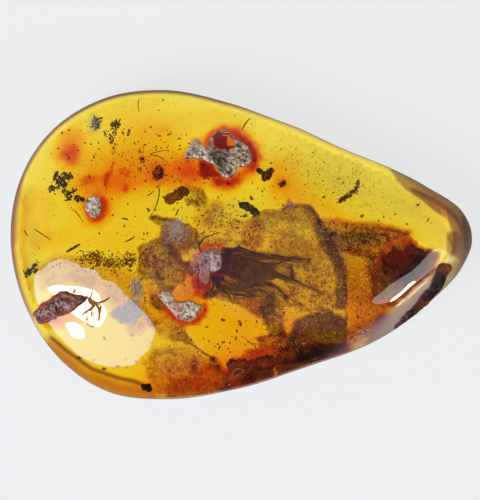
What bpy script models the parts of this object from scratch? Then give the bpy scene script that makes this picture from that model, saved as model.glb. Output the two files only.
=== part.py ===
"""Myriapod in amber: a hand-polished drop of amber that lies on its flat base.

The drop is parted along its old resin-flow boundary, on which a myriapod, two films of dust and
plant debris lie sealed in pockets. Crusts fill six open pits in the dome. X runs along the drop
to its tip, Z is up, and the origin is on the base, under the middle of the drop. All sizes are
millimetres, and MM turns them into metres.
"""

import math
from dataclasses import dataclass, replace

import bmesh
import bpy
from mathutils import Matrix, Vector, noise

MM = 0.001
TAU = 2 * math.pi

# The drop: its outline from above, and its section from the base to the top.
OUTLINE = (
    (23.05, 0.45), (22.0, 3.4), (18.6, 5.75), (12.0, 8.85), (5.0, 11.95), (-1.2, 14.15),
    (-7.8, 15.45), (-14.2, 14.45), (-19.4, 10.95), (-22.3, 6.0), (-23.05, 0.2),
    (-21.5, -6.3), (-18.1, -11.5), (-13.2, -14.75), (-7.9, -15.45), (0.0, -14.3),
    (8.2, -11.65), (13.8, -9.4), (18.9, -5.65), (22.0, -2.3),
)
CENTRE = Vector((-4.15, 0.0))
GIRDLE_Z = 4.4
DOME_HEIGHT = 6.0
DOME_FULLNESS = 2.3
BASE_SHARE = 0.907
BASE_SHARE_TO_TIP = -0.045
BASE_SHARE_TO_TOP = 0.03
SEGMENTS = 48
RINGS = 16
TIP_CROWDING = 0.45

# The flow boundary, and the gap between touching pieces.
FLOW_Z = 4.6
GAP = 0.3
FILM_THICK = 0.2

# Lumps: how rough they are, how far a crust stands out of the dome, and how much smaller the
# sphere inside a twenty-sided pocket is than the one around it.
ROUGHNESS = 0.22
PROUD = 0.15
ICOSAHEDRON_FIT = 0.795

FILM_LEFT = (
    (-9.0, 2.65), (-8.15, 2.2), (-7.5, 2.45), (-6.3, 2.45), (-5.35, 1.85), (-5.45, 0.85),
    (-5.25, -0.6), (-5.35, -2.5), (-5.55, -3.85), (-6.8, -4.05), (-7.45, -3.2), (-8.45, -4.4),
    (-9.65, -3.1), (-9.95, -0.95), (-9.0, -0.3), (-7.95, 0.3), (-7.75, 1.15), (-8.45, 2.1),
)
FILM_MAIN = (
    (-4.6, 4.4), (-0.5, 4.7), (1.75, 3.5), (3.65, 3.25), (5.3, 3.8), (6.7, 3.6), (7.6, 1.95),
    (8.35, 0.05), (9.5, -1.6), (12.65, -1.4), (12.2, -4.6), (12.5, -7.05), (10.0, -8.9), (6.35, -9.85),
    (5.4, -7.4), (2.85, -6.7), (0.5, -5.8), (-2.05, -5.1), (-3.8, -4.4), (-4.65, -2.1), (-4.85, 1.15),
)

# The animal lies on the main film, its head to the left.
BODY_START = Vector((-2.3, -1.7, 5.95))
BODY_END = Vector((2.9, -2.8, 5.75))
BODY_RINGS = 7
BODY_WIDTH = 2.3
BODY_HEIGHT = 1.25
RING_LENGTH = 1.15
HEAD = Vector((-3.1, -1.45, 5.95))
HEAD_SIZE = (1.5, 1.4, 1.15)
LEG_DEPTH = 0.11
LEG_ROOT = 1.3
LEG_TIP = 0.6
LEGS = (
    ((-1.8, -1.05, 5.9), (-0.45, -0.2, 6.3), (0.8, -0.45, 6.1), (4.2, -1.1, 5.7), (6.95, -1.35, 5.3)),
    ((-1.2, -1.25, 5.8), (0.15, -0.7, 6.2), (2.1, -1.15, 6.0), (5.45, -1.75, 5.4)),
    ((0.55, -1.55, 5.8), (2.3, -1.5, 6.2), (4.25, -1.55, 5.9), (5.25, -0.9, 5.4)),
    ((2.5, -2.75, 5.7), (4.2, -3.15, 6.0), (5.7, -3.8, 5.7), (8.1, -4.4, 5.3)),
    ((2.1, -2.95, 5.7), (3.75, -4.25, 6.1), (4.35, -5.1, 5.8), (5.65, -5.6, 5.4)),
    ((0.35, -2.85, 5.7), (1.7, -4.1, 6.2), (3.1, -4.7, 5.8), (3.85, -5.75, 5.4)),
    ((-1.4, -2.3, 5.7), (-0.65, -3.75, 6.2), (0.85, -4.25, 5.8), (2.1, -4.9, 5.3)),
    ((-2.2, -2.1, 5.8), (-2.9, -3.55, 6.2), (-2.25, -4.4, 5.4)),
)
ANTENNAE = (
    ((-3.5, -1.15, 6.0), (-4.15, -0.3, 6.3), (-3.6, 0.65, 6.0), (-2.0, 1.25, 5.5)),
    ((-3.6, -1.85, 6.0), (-4.25, -2.7, 6.2), (-4.2, -3.65, 5.4)),
)
ANIMAL_POCKET = (
    (-4.9, 0.4), (-4.0, 1.3), (-1.6, 1.8), (0.4, 0.6), (2.9, -0.4), (5.8, -0.3), (7.7, -0.8),
    (8.8, -4.1), (8.4, -5.1), (6.2, -6.4), (3.1, -6.4), (-0.1, -5.3), (-3.0, -5.0), (-4.9, -3.8),
)
ANIMAL_TOP = 6.85


@dataclass(frozen=True)
class Pebble:
    """A rough rounded lump: its middle, its size along, across and through, and its turn.

    With z None it lies on the dome, leaned as the dome is there.
    """

    x: float
    y: float
    z: float | None
    size: tuple
    turn: float = 0.0


def on_dome(x, y, size, turn=0.0):
    return Pebble(x, y, None, size, turn)


CRUSTS = {
    "crust_top": (
        on_dome(-4.4, 9.4, (2.5, 2.0, 1.3), 20),
        on_dome(-2.7, 8.8, (2.6, 1.6, 1.2), -15),
        on_dome(-0.4, 8.3, (3.3, 3.1, 1.7), -55),
        on_dome(-1.5, 7.1, (2.3, 1.8, 1.3), 30),
    ),
    "crust_left": (on_dome(-14.6, 3.65, (2.1, 1.5, 1.3), 80),),
    "crust_centre": (
        on_dome(-3.05, -1.4, (2.3, 2.1, 1.6), 30),
        on_dome(-3.5, -2.9, (1.6, 0.8, 0.8), 80),
    ),
    "crust_lower": (
        on_dome(-7.5, -5.1, (2.1, 1.2, 1.1), -35),
        on_dome(-6.5, -5.7, (1.5, 0.9, 0.9), -35),
        on_dome(-5.1, -6.3, (2.5, 1.9, 1.3), -15),
    ),
    "crust_log": (
        on_dome(-19.3, -6.7, (2.3, 1.7, 1.3), 25),
        on_dome(-17.9, -6.0, (2.5, 1.8, 1.4), 20),
        on_dome(-16.4, -5.7, (2.4, 1.4, 1.2), -5),
        on_dome(-14.6, -5.8, (2.2, 0.9, 0.8), -15),
    ),
    "crust_slit": (
        on_dome(19.7, -3.0, (2.2, 0.8, 0.9), 65),
        on_dome(18.9, -4.4, (2.3, 0.8, 0.9), 55),
        on_dome(17.6, -5.9, (2.3, 0.8, 0.9), 45),
        on_dome(16.2, -7.1, (2.2, 0.7, 0.9), 38),
    ),
}

# These crusts and bits of bark have a plain pocket around each lump.
LONG_CRUSTS = ("crust_log", "crust_slit")
LARGE_BARK = ("bark_lump", "bark_sliver")

DEBRIS = {
    "plant_clump": (
        Pebble(-17.35, 5.95, 4.6, (1.9, 1.5, 1.1), 60),
        Pebble(-16.8, 5.0, 4.7, (1.9, 1.3, 0.9), -30),
        Pebble(-15.8, 4.4, 4.6, (1.2, 0.6, 0.6), -15),
    ),
    "debris_clump": (Pebble(-14.25, 11.5, 4.7, (1.6, 1.0, 1.2), 75),),
    "stem_bit": (
        Pebble(-12.3, 11.4, 4.6, (1.0, 0.8, 0.9), 40),
        Pebble(-12.6, 10.45, 4.6, (1.8, 0.4, 0.5), 72),
    ),
    "bark_bit": (
        Pebble(2.3, 6.45, 4.7, (1.5, 1.1, 1.1), 25),
        Pebble(1.5, 6.45, 4.6, (1.2, 0.5, 0.5), -20),
    ),
    "halo_grain": (Pebble(-8.2, 6.85, 4.7, (1.5, 1.0, 1.2), 80),),
    "grey_grain": (Pebble(3.9, 5.6, 4.6, (0.8, 0.7, 0.8)),),
    "brown_flake": (
        Pebble(-6.9, 4.75, 4.6, (1.9, 1.3, 0.7), 30),
        Pebble(-5.95, 4.4, 4.7, (1.7, 1.2, 0.7), -40),
    ),
    "dark_flake": (Pebble(0.65, 3.35, 5.3, (2.6, 1.0, 0.6), -28),),
    "twig": (
        Pebble(11.1, 5.0, 4.6, (1.4, 0.7, 0.7), 70),
        Pebble(10.2, 4.3, 4.6, (1.8, 0.6, 0.6), 30),
    ),
    "debris_band": (
        Pebble(-14.75, -1.15, 4.6, (1.9, 1.2, 0.8), 10),
        Pebble(-13.5, -1.6, 4.7, (2.1, 1.3, 0.9), -25),
        Pebble(-12.15, -1.8, 4.6, (2.1, 1.2, 0.8), 15),
        Pebble(-11.0, -1.55, 4.6, (1.5, 0.9, 0.7), 40),
    ),
    "edge_crumb": (Pebble(-20.05, -2.05, 4.6, (1.3, 0.8, 0.9), 50),),
    "black_grain": (Pebble(-9.45, -13.6, 4.6, (0.9, 0.6, 0.7)),),
    "bark_lump": (
        Pebble(15.45, -1.85, 4.4, (4.6, 3.6, 3.0), -20),
        Pebble(17.25, -0.8, 4.6, (2.8, 2.0, 1.8), 10),
    ),
    "bark_sliver": (
        Pebble(-0.3, -11.45, 4.5, (3.0, 1.5, 1.4), -8),
        Pebble(1.95, -11.15, 4.6, (3.4, 1.5, 1.6), 10),
        Pebble(4.35, -10.45, 4.5, (3.0, 1.3, 1.4), 20),
    ),
}

# Each finish: its colour, roughness and how clear it is.
FINISHES = {
    "amber": ((0.80, 0.52, 0.03), 0.05, 1.0),
    "crust": ((0.36, 0.28, 0.22), 0.95, 0.0),
    "rust_crust": ((0.20, 0.05, 0.02), 0.9, 0.0),
    "animal": ((0.07, 0.03, 0.015), 0.6, 0.0),
    "film": ((0.22, 0.11, 0.03), 0.5, 0.0),
    "bark": ((0.04, 0.015, 0.008), 0.8, 0.0),
    "plant": ((0.10, 0.08, 0.04), 0.9, 0.0),
}
DEBRIS_FINISH = {
    "plant_clump": "plant",
    "debris_clump": "plant",
    "twig": "plant",
    "debris_band": "plant",
    "edge_crumb": "plant",
    "halo_grain": "rust_crust",
    "grey_grain": "crust",
}


def clear_scene():
    for obj in list(bpy.data.objects):
        bpy.data.objects.remove(obj, do_unlink=True)


def new_collection(name):
    collection = bpy.data.collections.new(name)
    bpy.context.scene.collection.children.link(collection)
    return collection


def finish_material(name):
    colour, roughness, clear = FINISHES[name]
    material = bpy.data.materials.get(name) or bpy.data.materials.new(name)
    material.use_nodes = True
    shader = material.node_tree.nodes["Principled BSDF"]
    shader.inputs["Base Color"].default_value = (*colour, 1.0)
    shader.inputs["Roughness"].default_value = roughness
    shader.inputs["Transmission Weight"].default_value = clear
    return material


def object_from(bm, name, collection):
    """The bmesh as an object, with its millimetres made metres."""
    bmesh.ops.scale(bm, vec=(MM, MM, MM), verts=bm.verts)
    bmesh.ops.recalc_face_normals(bm, faces=bm.faces)
    mesh = bpy.data.meshes.new(name)
    bm.to_mesh(mesh)
    bm.free()
    obj = bpy.data.objects.new(name, mesh)
    collection.objects.link(obj)
    return obj


def as_helper(obj):
    obj.hide_render = True
    obj.display_type = "WIRE"
    return obj


def boolean(obj, other, operation):
    modifier = obj.modifiers.new(f"{operation.lower()} {other.name}", "BOOLEAN")
    modifier.operation = operation
    modifier.solver = "EXACT"
    modifier.object = other


def outline_knots():
    """The outline's points as angles and distances from the drop's centre, in order of angle."""
    offsets = [Vector(point) - CENTRE for point in OUTLINE]
    return sorted((math.atan2(offset.y, offset.x) % TAU, offset.length) for offset in offsets)


KNOTS = outline_knots()


def knot(index):
    """The knot at this index, turned a whole turn for each time that the index goes round."""
    turns, place = divmod(index, len(KNOTS))
    angle, radius = KNOTS[place]
    return angle + turns * TAU, radius


def knot_slope(index):
    """How fast the outline's radius changes with the angle at a knot."""
    (before, start), (here, middle), (after, end) = (knot(index + step) for step in (-1, 0, 1))
    slope_in = (middle - start) / (here - before)
    slope_out = (end - middle) / (after - here)
    return (slope_in * (after - here) + slope_out * (here - before)) / (after - before)


def outline_radius(angle):
    """Distance from the drop's centre to its outline, by cubics that meet smoothly at the knots."""
    angle = (angle - KNOTS[0][0]) % TAU + KNOTS[0][0]
    index = max(place for place in range(len(KNOTS)) if KNOTS[place][0] <= angle)
    (left, start), (right, end) = knot(index), knot(index + 1)
    span = right - left
    t = (angle - left) / span
    ease = t * t * (3 - 2 * t)
    lean_in = t * (1 - t) ** 2 * span * knot_slope(index)
    lean_out = t * t * (t - 1) * span * knot_slope(index + 1)
    return start + (end - start) * ease + lean_in + lean_out


def drop_point(angle, rise):
    """A point on the drop's skin. rise runs from -1 in the base's middle to 1 at the top."""
    if rise >= 0:
        turn = rise * math.pi / 2
        share = math.cos(turn) ** (2 / DOME_FULLNESS) if rise < 1 else 0.0
        z = GIRDLE_Z + DOME_HEIGHT * math.sin(turn)
    else:
        base = BASE_SHARE + BASE_SHARE_TO_TIP * math.cos(angle) + BASE_SHARE_TO_TOP * math.sin(angle)
        turn = min(-2 * rise, 1) * math.pi / 2
        share = base + (1 - base) * math.cos(turn)
        z = GIRDLE_Z * (1 - math.sin(turn))
        if rise < -0.5:
            share = base * 2 * (1 + rise)
            z = 0.0
    radius = share * outline_radius(angle)
    return Vector((CENTRE.x + radius * math.cos(angle), CENTRE.y + radius * math.sin(angle), z))


def dome_z(x, y):
    """Height of the dome's skin over a point."""
    offset = Vector((x, y)) - CENTRE
    share = min(offset.length / outline_radius(math.atan2(offset.y, offset.x)), 1.0)
    return GIRDLE_Z + DOME_HEIGHT * math.sqrt(1 - share**DOME_FULLNESS)


def dome_normal(x, y, reach=0.4):
    """Outward direction of the dome's skin over a point, averaged over a short reach."""
    slope_x = (dome_z(x + reach, y) - dome_z(x - reach, y)) / (2 * reach)
    slope_y = (dome_z(x, y + reach) - dome_z(x, y - reach)) / (2 * reach)
    return Vector((-slope_x, -slope_y, 1)).normalized()


def amber_half(name, upper, collection):
    """The drop's solid above or below the flow boundary, half a gap away from it."""
    bm = bmesh.new()
    bmesh.ops.create_uvsphere(bm, u_segments=SEGMENTS, v_segments=RINGS, radius=1)
    for vert in bm.verts:
        rise = math.asin(max(-1.0, min(1.0, vert.co.z))) / (math.pi / 2)
        angle = math.atan2(vert.co.y, vert.co.x)
        vert.co = drop_point(angle - TIP_CROWDING * math.sin(angle), rise)
    cut = bmesh.ops.bisect_plane(
        bm,
        geom=bm.verts[:] + bm.edges[:] + bm.faces[:],
        plane_co=(0, 0, FLOW_Z + (GAP / 2 if upper else -GAP / 2)),
        plane_no=(0, 0, 1),
        clear_inner=upper,
        clear_outer=not upper,
    )
    rim = [item for item in cut["geom_cut"] if isinstance(item, bmesh.types.BMEdge)]
    bmesh.ops.contextual_create(bm, geom=rim)
    return object_from(bm, name, collection)


def pebble(name, shape, collection, grow=0.0, roughness=ROUGHNESS, detail=2):
    """A lump with a rough skin, each point of it moved out by grow."""
    if shape.z is None:
        up = dome_normal(shape.x, shape.y)
        middle = Vector((shape.x, shape.y, dome_z(shape.x, shape.y))) + up * (PROUD - shape.size[2] / 2)
    else:
        up = Vector((0, 0, 1))
        middle = Vector((shape.x, shape.y, shape.z))
    turn = Matrix.Rotation(math.radians(shape.turn), 4, "Z")
    lean = Vector((0, 0, 1)).rotation_difference(up).to_matrix().to_4x4()
    bm = bmesh.new()
    bmesh.ops.create_icosphere(bm, subdivisions=detail, radius=0.5)
    for vert in bm.verts:
        vert.co *= 1 + roughness * noise.noise(vert.co * 4 + middle)
        vert.co = Vector(part * side for part, side in zip(vert.co, shape.size))
    bm.normal_update()
    for vert in bm.verts:
        vert.co += vert.normal * grow
    bmesh.ops.transform(bm, matrix=Matrix.Translation(middle) @ lean @ turn, verts=bm.verts)
    return object_from(bm, name, collection)


def pebbles(name, shapes, collection, helpers, grow=0.0):
    """Overlapping lumps joined into one solid."""
    whole = pebble(name, shapes[0], collection, grow)
    for number, shape in enumerate(shapes[1:], start=2):
        part = as_helper(pebble(f"{name}_{number}", shape, helpers, grow))
        boolean(whole, part, "UNION")
    return whole


def box_pocket(node, helpers):
    """A box cutter around a small sealed piece, with the gap on every side."""
    bpy.context.view_layer.update()
    corners = [Vector(corner) / MM for corner in node.bound_box]
    low = Vector(min(corner[axis] for corner in corners) for axis in range(3))
    high = Vector(max(corner[axis] for corner in corners) for axis in range(3))
    bm = bmesh.new()
    bmesh.ops.create_cube(bm, size=1)
    bmesh.ops.scale(bm, vec=high - low + Vector((2, 2, 2)) * GAP, verts=bm.verts)
    bmesh.ops.translate(bm, vec=(low + high) / 2, verts=bm.verts)
    return as_helper(object_from(bm, f"pocket_{node.name}", helpers))


def pockets(name, shapes, helpers):
    """A plain twenty-sided cutter around each lump, big enough for its bumps and the gap."""
    room = (1 + ROUGHNESS / 2) / ICOSAHEDRON_FIT
    cutters = []
    for number, shape in enumerate(shapes, start=1):
        roomy = replace(shape, size=tuple(side * room for side in shape.size))
        cutter = pebble(f"pocket_{name}_{number}", roomy, helpers, GAP, roughness=0.0, detail=1)
        cutters.append(as_helper(cutter))
    return cutters


def grown(outline, reach):
    """The outline with each corner moved out along the mean of its sides' normals."""
    points = [Vector(point) for point in outline]
    area = sum(a.cross(b) for a, b in zip(points, points[1:] + points[:1]))
    outward = -1 if area > 0 else 1
    moved = []
    for index, here in enumerate(points):
        side_in = (here - points[index - 1]).normalized()
        side_out = (points[(index + 1) % len(points)] - here).normalized()
        way = (side_in + side_out).normalized()
        spread = max(way.dot(side_in), 0.5)
        moved.append(here + Vector((-way.y, way.x)) * outward * reach / spread)
    return moved


def slab(name, outline, low, high, collection):
    """A flat plate of the outline, between two heights."""
    curve = bpy.data.curves.new(name, "CURVE")
    curve.dimensions = "2D"
    curve.fill_mode = "BOTH"
    curve.extrude = (high - low) / 2 * MM
    spline = curve.splines.new("POLY")
    spline.points.add(len(outline) - 1)
    for point, (x, y) in zip(spline.points, outline):
        point.co = (x * MM, y * MM, 0, 1)
    spline.use_cyclic_u = True
    guide = bpy.data.objects.new(name, curve)
    collection.objects.link(guide)
    guide.location.z = (low + high) / 2 * MM
    return mesh_from_curve(guide, collection)


def tube(name, route, depth, collection):
    """A thin limb along a route, tapered to its end."""
    curve = bpy.data.curves.new(name, "CURVE")
    curve.dimensions = "3D"
    curve.bevel_depth = depth * MM
    curve.bevel_resolution = 0
    curve.use_fill_caps = True
    curve.resolution_u = 2
    spline = curve.splines.new("BEZIER")
    spline.bezier_points.add(len(route) - 1)
    for number, (point, place) in enumerate(zip(spline.bezier_points, route)):
        point.co = Vector(place) * MM
        point.handle_left_type = point.handle_right_type = "AUTO"
        point.radius = LEG_ROOT + (LEG_TIP - LEG_ROOT) * number / (len(route) - 1)
    guide = bpy.data.objects.new(name, curve)
    collection.objects.link(guide)
    return mesh_from_curve(guide, collection)


def mesh_from_curve(guide, collection):
    """The guide's evaluated shape as a mesh object with its caps welded, in place of the guide."""
    bpy.context.view_layer.update()
    graph = bpy.context.evaluated_depsgraph_get()
    name = guide.name
    mesh = bpy.data.meshes.new_from_object(guide.evaluated_get(graph))
    bm = bmesh.new()
    bm.from_mesh(mesh)
    bmesh.ops.remove_doubles(bm, verts=bm.verts, dist=0.001 * MM)
    bmesh.ops.recalc_face_normals(bm, faces=bm.faces)
    bm.to_mesh(mesh)
    bm.free()
    place = guide.matrix_world.copy()
    bpy.data.objects.remove(guide)
    obj = bpy.data.objects.new(name, mesh)
    obj.matrix_world = place
    collection.objects.link(obj)
    return obj


def body_ring(number):
    """One body ring: the middle ones are the widest, and the tail tapers."""
    along = number / (BODY_RINGS - 1)
    middle = BODY_START.lerp(BODY_END, along)
    swell = 0.72 + 0.28 * math.sin(math.pi * (0.15 + 0.75 * along))
    heading = math.degrees(math.atan2(BODY_END.y - BODY_START.y, BODY_END.x - BODY_START.x))
    return Pebble(*middle, (RING_LENGTH, BODY_WIDTH * swell, BODY_HEIGHT * swell), heading)


def make_myriapod(collection, helpers):
    """Head, body rings, antennae and legs as one solid."""
    animal = pebble("myriapod", Pebble(*HEAD, HEAD_SIZE), collection, roughness=0.0)
    for number in range(BODY_RINGS):
        ring = pebble(f"body_ring_{number + 1}", body_ring(number), helpers, roughness=0.0)
        boolean(animal, as_helper(ring), "UNION")
    for number, route in enumerate(LEGS + ANTENNAE, start=1):
        limb = tube(f"limb_{number}", route, LEG_DEPTH, helpers)
        boolean(animal, as_helper(limb), "UNION")
    return animal


def make_part():
    clear_scene()
    parts = new_collection("myriapod_in_amber")
    helpers = new_collection("cutters")

    upper = amber_half("amber_upper", True, parts)
    lower = amber_half("amber_lower", False, parts)
    nodes = {upper: "amber", lower: "amber"}

    for name, shapes in CRUSTS.items():
        nodes[pebbles(name, shapes, parts, helpers)] = "rust_crust" if name in LONG_CRUSTS else "crust"
        if name in LONG_CRUSTS:
            pits = pockets(name, shapes, helpers)
        else:
            pits = [as_helper(pebbles(f"pit_{name}", shapes, helpers, helpers, GAP))]
        for pit in pits:
            boolean(upper, pit, "DIFFERENCE")

    for name, shapes in DEBRIS.items():
        node = pebbles(name, shapes, parts, helpers)
        nodes[node] = DEBRIS_FINISH.get(name, "bark")
        cutters = pockets(name, shapes, helpers) if name in LARGE_BARK else [box_pocket(node, helpers)]
        for cutter in cutters:
            boolean(upper, cutter, "DIFFERENCE")
            boolean(lower, cutter, "DIFFERENCE")

    film_low = FLOW_Z - FILM_THICK / 2
    film_high = FLOW_Z + FILM_THICK / 2
    for name, outline in (("film_left", FILM_LEFT), ("film_main", FILM_MAIN)):
        nodes[slab(name, outline, film_low, film_high, parts)] = "film"
        roomy = grown(outline, GAP)
        recess = as_helper(slab(f"recess_{name}", roomy, film_low - GAP, film_high + GAP, helpers))
        boolean(upper, recess, "DIFFERENCE")
        boolean(lower, recess, "DIFFERENCE")

    nodes[make_myriapod(parts, helpers)] = "animal"
    pocket = slab("pocket_myriapod", ANIMAL_POCKET, FLOW_Z, ANIMAL_TOP, helpers)
    boolean(upper, as_helper(pocket), "DIFFERENCE")

    for node, finish in nodes.items():
        node.data.materials.append(finish_material(finish))


make_part()
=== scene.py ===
"""Looks of a myriapod sealed in a drop of amber.

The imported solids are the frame. Each class here models one kind of thing in or on the drop,
gives it its finish and says which solid it stands for. Sizes and places are millimetres in the
frame's axes: X along the drop to its tip, Z up, the origin on the base. A place given by two
numbers is where a thing inside the drop is seen from straight above, through the dome.
"""

import logging
import math
import random
from collections.abc import Iterable
from dataclasses import dataclass, field
from enum import Enum
from functools import cached_property

import bmesh
import bpy
from mathutils import Matrix, Vector, noise


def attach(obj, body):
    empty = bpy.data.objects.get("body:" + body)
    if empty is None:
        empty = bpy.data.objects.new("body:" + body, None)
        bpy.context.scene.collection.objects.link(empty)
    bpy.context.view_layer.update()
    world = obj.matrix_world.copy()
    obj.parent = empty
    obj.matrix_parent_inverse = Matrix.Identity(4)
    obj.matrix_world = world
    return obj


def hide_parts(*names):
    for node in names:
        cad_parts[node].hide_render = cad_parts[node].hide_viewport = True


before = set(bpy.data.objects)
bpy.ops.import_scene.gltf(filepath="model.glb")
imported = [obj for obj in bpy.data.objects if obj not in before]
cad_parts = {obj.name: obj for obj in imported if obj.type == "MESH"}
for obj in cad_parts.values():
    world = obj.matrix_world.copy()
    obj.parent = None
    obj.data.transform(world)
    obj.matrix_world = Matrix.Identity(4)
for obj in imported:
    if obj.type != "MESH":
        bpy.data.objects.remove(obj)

MM = 0.001
TAU = 2 * math.pi
UP = Vector((0, 0, 1))
FAR = 1e9
# The squared distance, in its own half-lengths, past which a soft mark is nothing.
FADE_END = 9
LOG = logging.getLogger("myriapod_in_amber")


@dataclass(frozen=True)
class DropForm:
    """The drop's skin as a formula, the same as its solid's."""

    outline: tuple = (
        (23.05, 0.45), (22.0, 3.4), (18.6, 5.75), (12.0, 8.85), (5.0, 11.95), (-1.2, 14.15),
        (-7.8, 15.45), (-14.2, 14.45), (-19.4, 10.95), (-22.3, 6.0), (-23.05, 0.2),
        (-21.5, -6.3), (-18.1, -11.5), (-13.2, -14.75), (-7.9, -15.45), (0.0, -14.3),
        (8.2, -11.65), (13.8, -9.4), (18.9, -5.65), (22.0, -2.3),
    )
    centre: tuple = (-4.15, 0.0)
    girdle_z: float = 4.4
    dome_height: float = 6.0
    fullness: float = 2.3
    base_share: float = 0.907
    base_to_tip: float = -0.045
    base_to_top: float = 0.03
    tip_crowding: float = 0.45
    refraction: float = 1.54
    eye: tuple = (-0.15, -0.525, 350.0)

    def knots(self) -> list[tuple[float, float]]:
        """The outline's points as angles and distances from the centre, in order of angle."""
        offsets = [(x - self.centre[0], y - self.centre[1]) for x, y in self.outline]
        return sorted((math.atan2(up, across) % TAU, math.hypot(across, up)) for across, up in offsets)

    def radii(self, steps: int = 1440) -> list[float]:
        """Distances from the centre to the outline, by cubics that meet smoothly at the knots.

        Args:
            steps: How many directions, evenly spaced from +X.

        Returns:
            The distance in each direction, in millimetres.
        """
        knots = self.knots()
        count = len(knots)
        found = []
        for step in range(steps):
            angle = (step / steps * TAU - knots[0][0]) % TAU + knots[0][0]
            index = max(place for place in range(count) if knots[place][0] <= angle)
            near = []
            for offset in (-1, 0, 1, 2):
                turns, place = divmod(index + offset, count)
                near.append((knots[place][0] + turns * TAU, knots[place][1]))
            (a0, r0), (a1, r1), (a2, r2), (a3, r3) = near
            before, span, after = a1 - a0, a2 - a1, a3 - a2
            chord = (r2 - r1) / span
            lean_in = ((r1 - r0) / before * span + chord * before) / (before + span)
            lean_out = (chord * after + (r3 - r2) / after * span) / (span + after)
            t = (angle - a1) / span
            ease = t * t * (3 - 2 * t)
            bend = t * (1 - t) ** 2 * lean_in + t * t * (t - 1) * lean_out
            found.append(r1 + (r2 - r1) * ease + bend * span)
        return found

    def radius(self, angle: float) -> float:
        """Distance from the centre to the outline in a direction, in millimetres."""
        place = angle / TAU * len(RADII)
        whole = math.floor(place)
        part = place - whole
        return RADII[whole % len(RADII)] * (1 - part) + RADII[(whole + 1) % len(RADII)] * part

    def share(self, x: float, y: float) -> float:
        """How far a place is from the centre, as a share of the way to the outline."""
        across, up = x - self.centre[0], y - self.centre[1]
        return math.hypot(across, up) / self.radius(math.atan2(up, across))

    def skin(self, angle: float, rise: float) -> Vector:
        """A point on the skin.

        Args:
            angle: Direction from the centre, in radians from +X.
            rise: From -1 in the base's middle, through 0 at the girdle, to 1 at the top.

        Returns:
            The point in millimetres.
        """
        if rise >= 0:
            turn = rise * math.pi / 2
            share = math.cos(turn) ** (2 / self.fullness) if rise < 1 else 0.0
            z = self.girdle_z + self.dome_height * math.sin(turn)
        else:
            base = self.base_share + self.base_to_tip * math.cos(angle) + self.base_to_top * math.sin(angle)
            turn = min(-2 * rise, 1) * math.pi / 2
            share = base + (1 - base) * math.cos(turn)
            z = self.girdle_z * (1 - math.sin(turn))
            if rise < -0.5:
                share = base * 2 * (1 + rise)
                z = 0.0
        reach = share * self.radius(angle)
        x = self.centre[0] + reach * math.cos(angle)
        return Vector((x, self.centre[1] + reach * math.sin(angle), z))

    def dome_z(self, x: float, y: float) -> float:
        """Height of the dome over a place, in millimetres."""
        share = min(self.share(x, y), 1.0)
        return self.girdle_z + self.dome_height * math.sqrt(1 - share**self.fullness)

    def normal(self, x: float, y: float, reach: float = 0.1) -> Vector:
        """Outward direction of the dome over a place."""
        slope_x = (self.dome_z(x + reach, y) - self.dome_z(x - reach, y)) / (2 * reach)
        slope_y = (self.dome_z(x, y + reach) - self.dome_z(x, y - reach)) / (2 * reach)
        return Vector((-slope_x, -slope_y, 1)).normalized()

    def under(self, x: float, y: float, z: float) -> Vector:
        """Where the line of sight to a place seen from above meets a height inside the drop.

        Args:
            x: The place as it is seen, at the girdle's height, in millimetres.
            y: The same, across.
            z: The height inside the drop.

        Returns:
            The point in millimetres, moved as the dome bends the line.
        """
        eye = Vector(self.eye)
        aim = Vector((x, y, self.girdle_z))
        entry = aim
        for _ in range(3):
            height = self.dome_z(entry.x, entry.y)
            entry = eye.lerp(aim, (eye.z - height) / (eye.z - self.girdle_z))
        down = (aim - eye).normalized()
        up = self.normal(entry.x, entry.y)
        ratio = 1 / self.refraction
        cosine = -down.dot(up)
        inner = math.sqrt(1 - ratio * ratio * (1 - cosine * cosine))
        way = down * ratio + up * (ratio * cosine - inner)
        return entry + way * ((entry.z - z) / -way.z)


FORM = DropForm()
RADII = FORM.radii()


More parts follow.
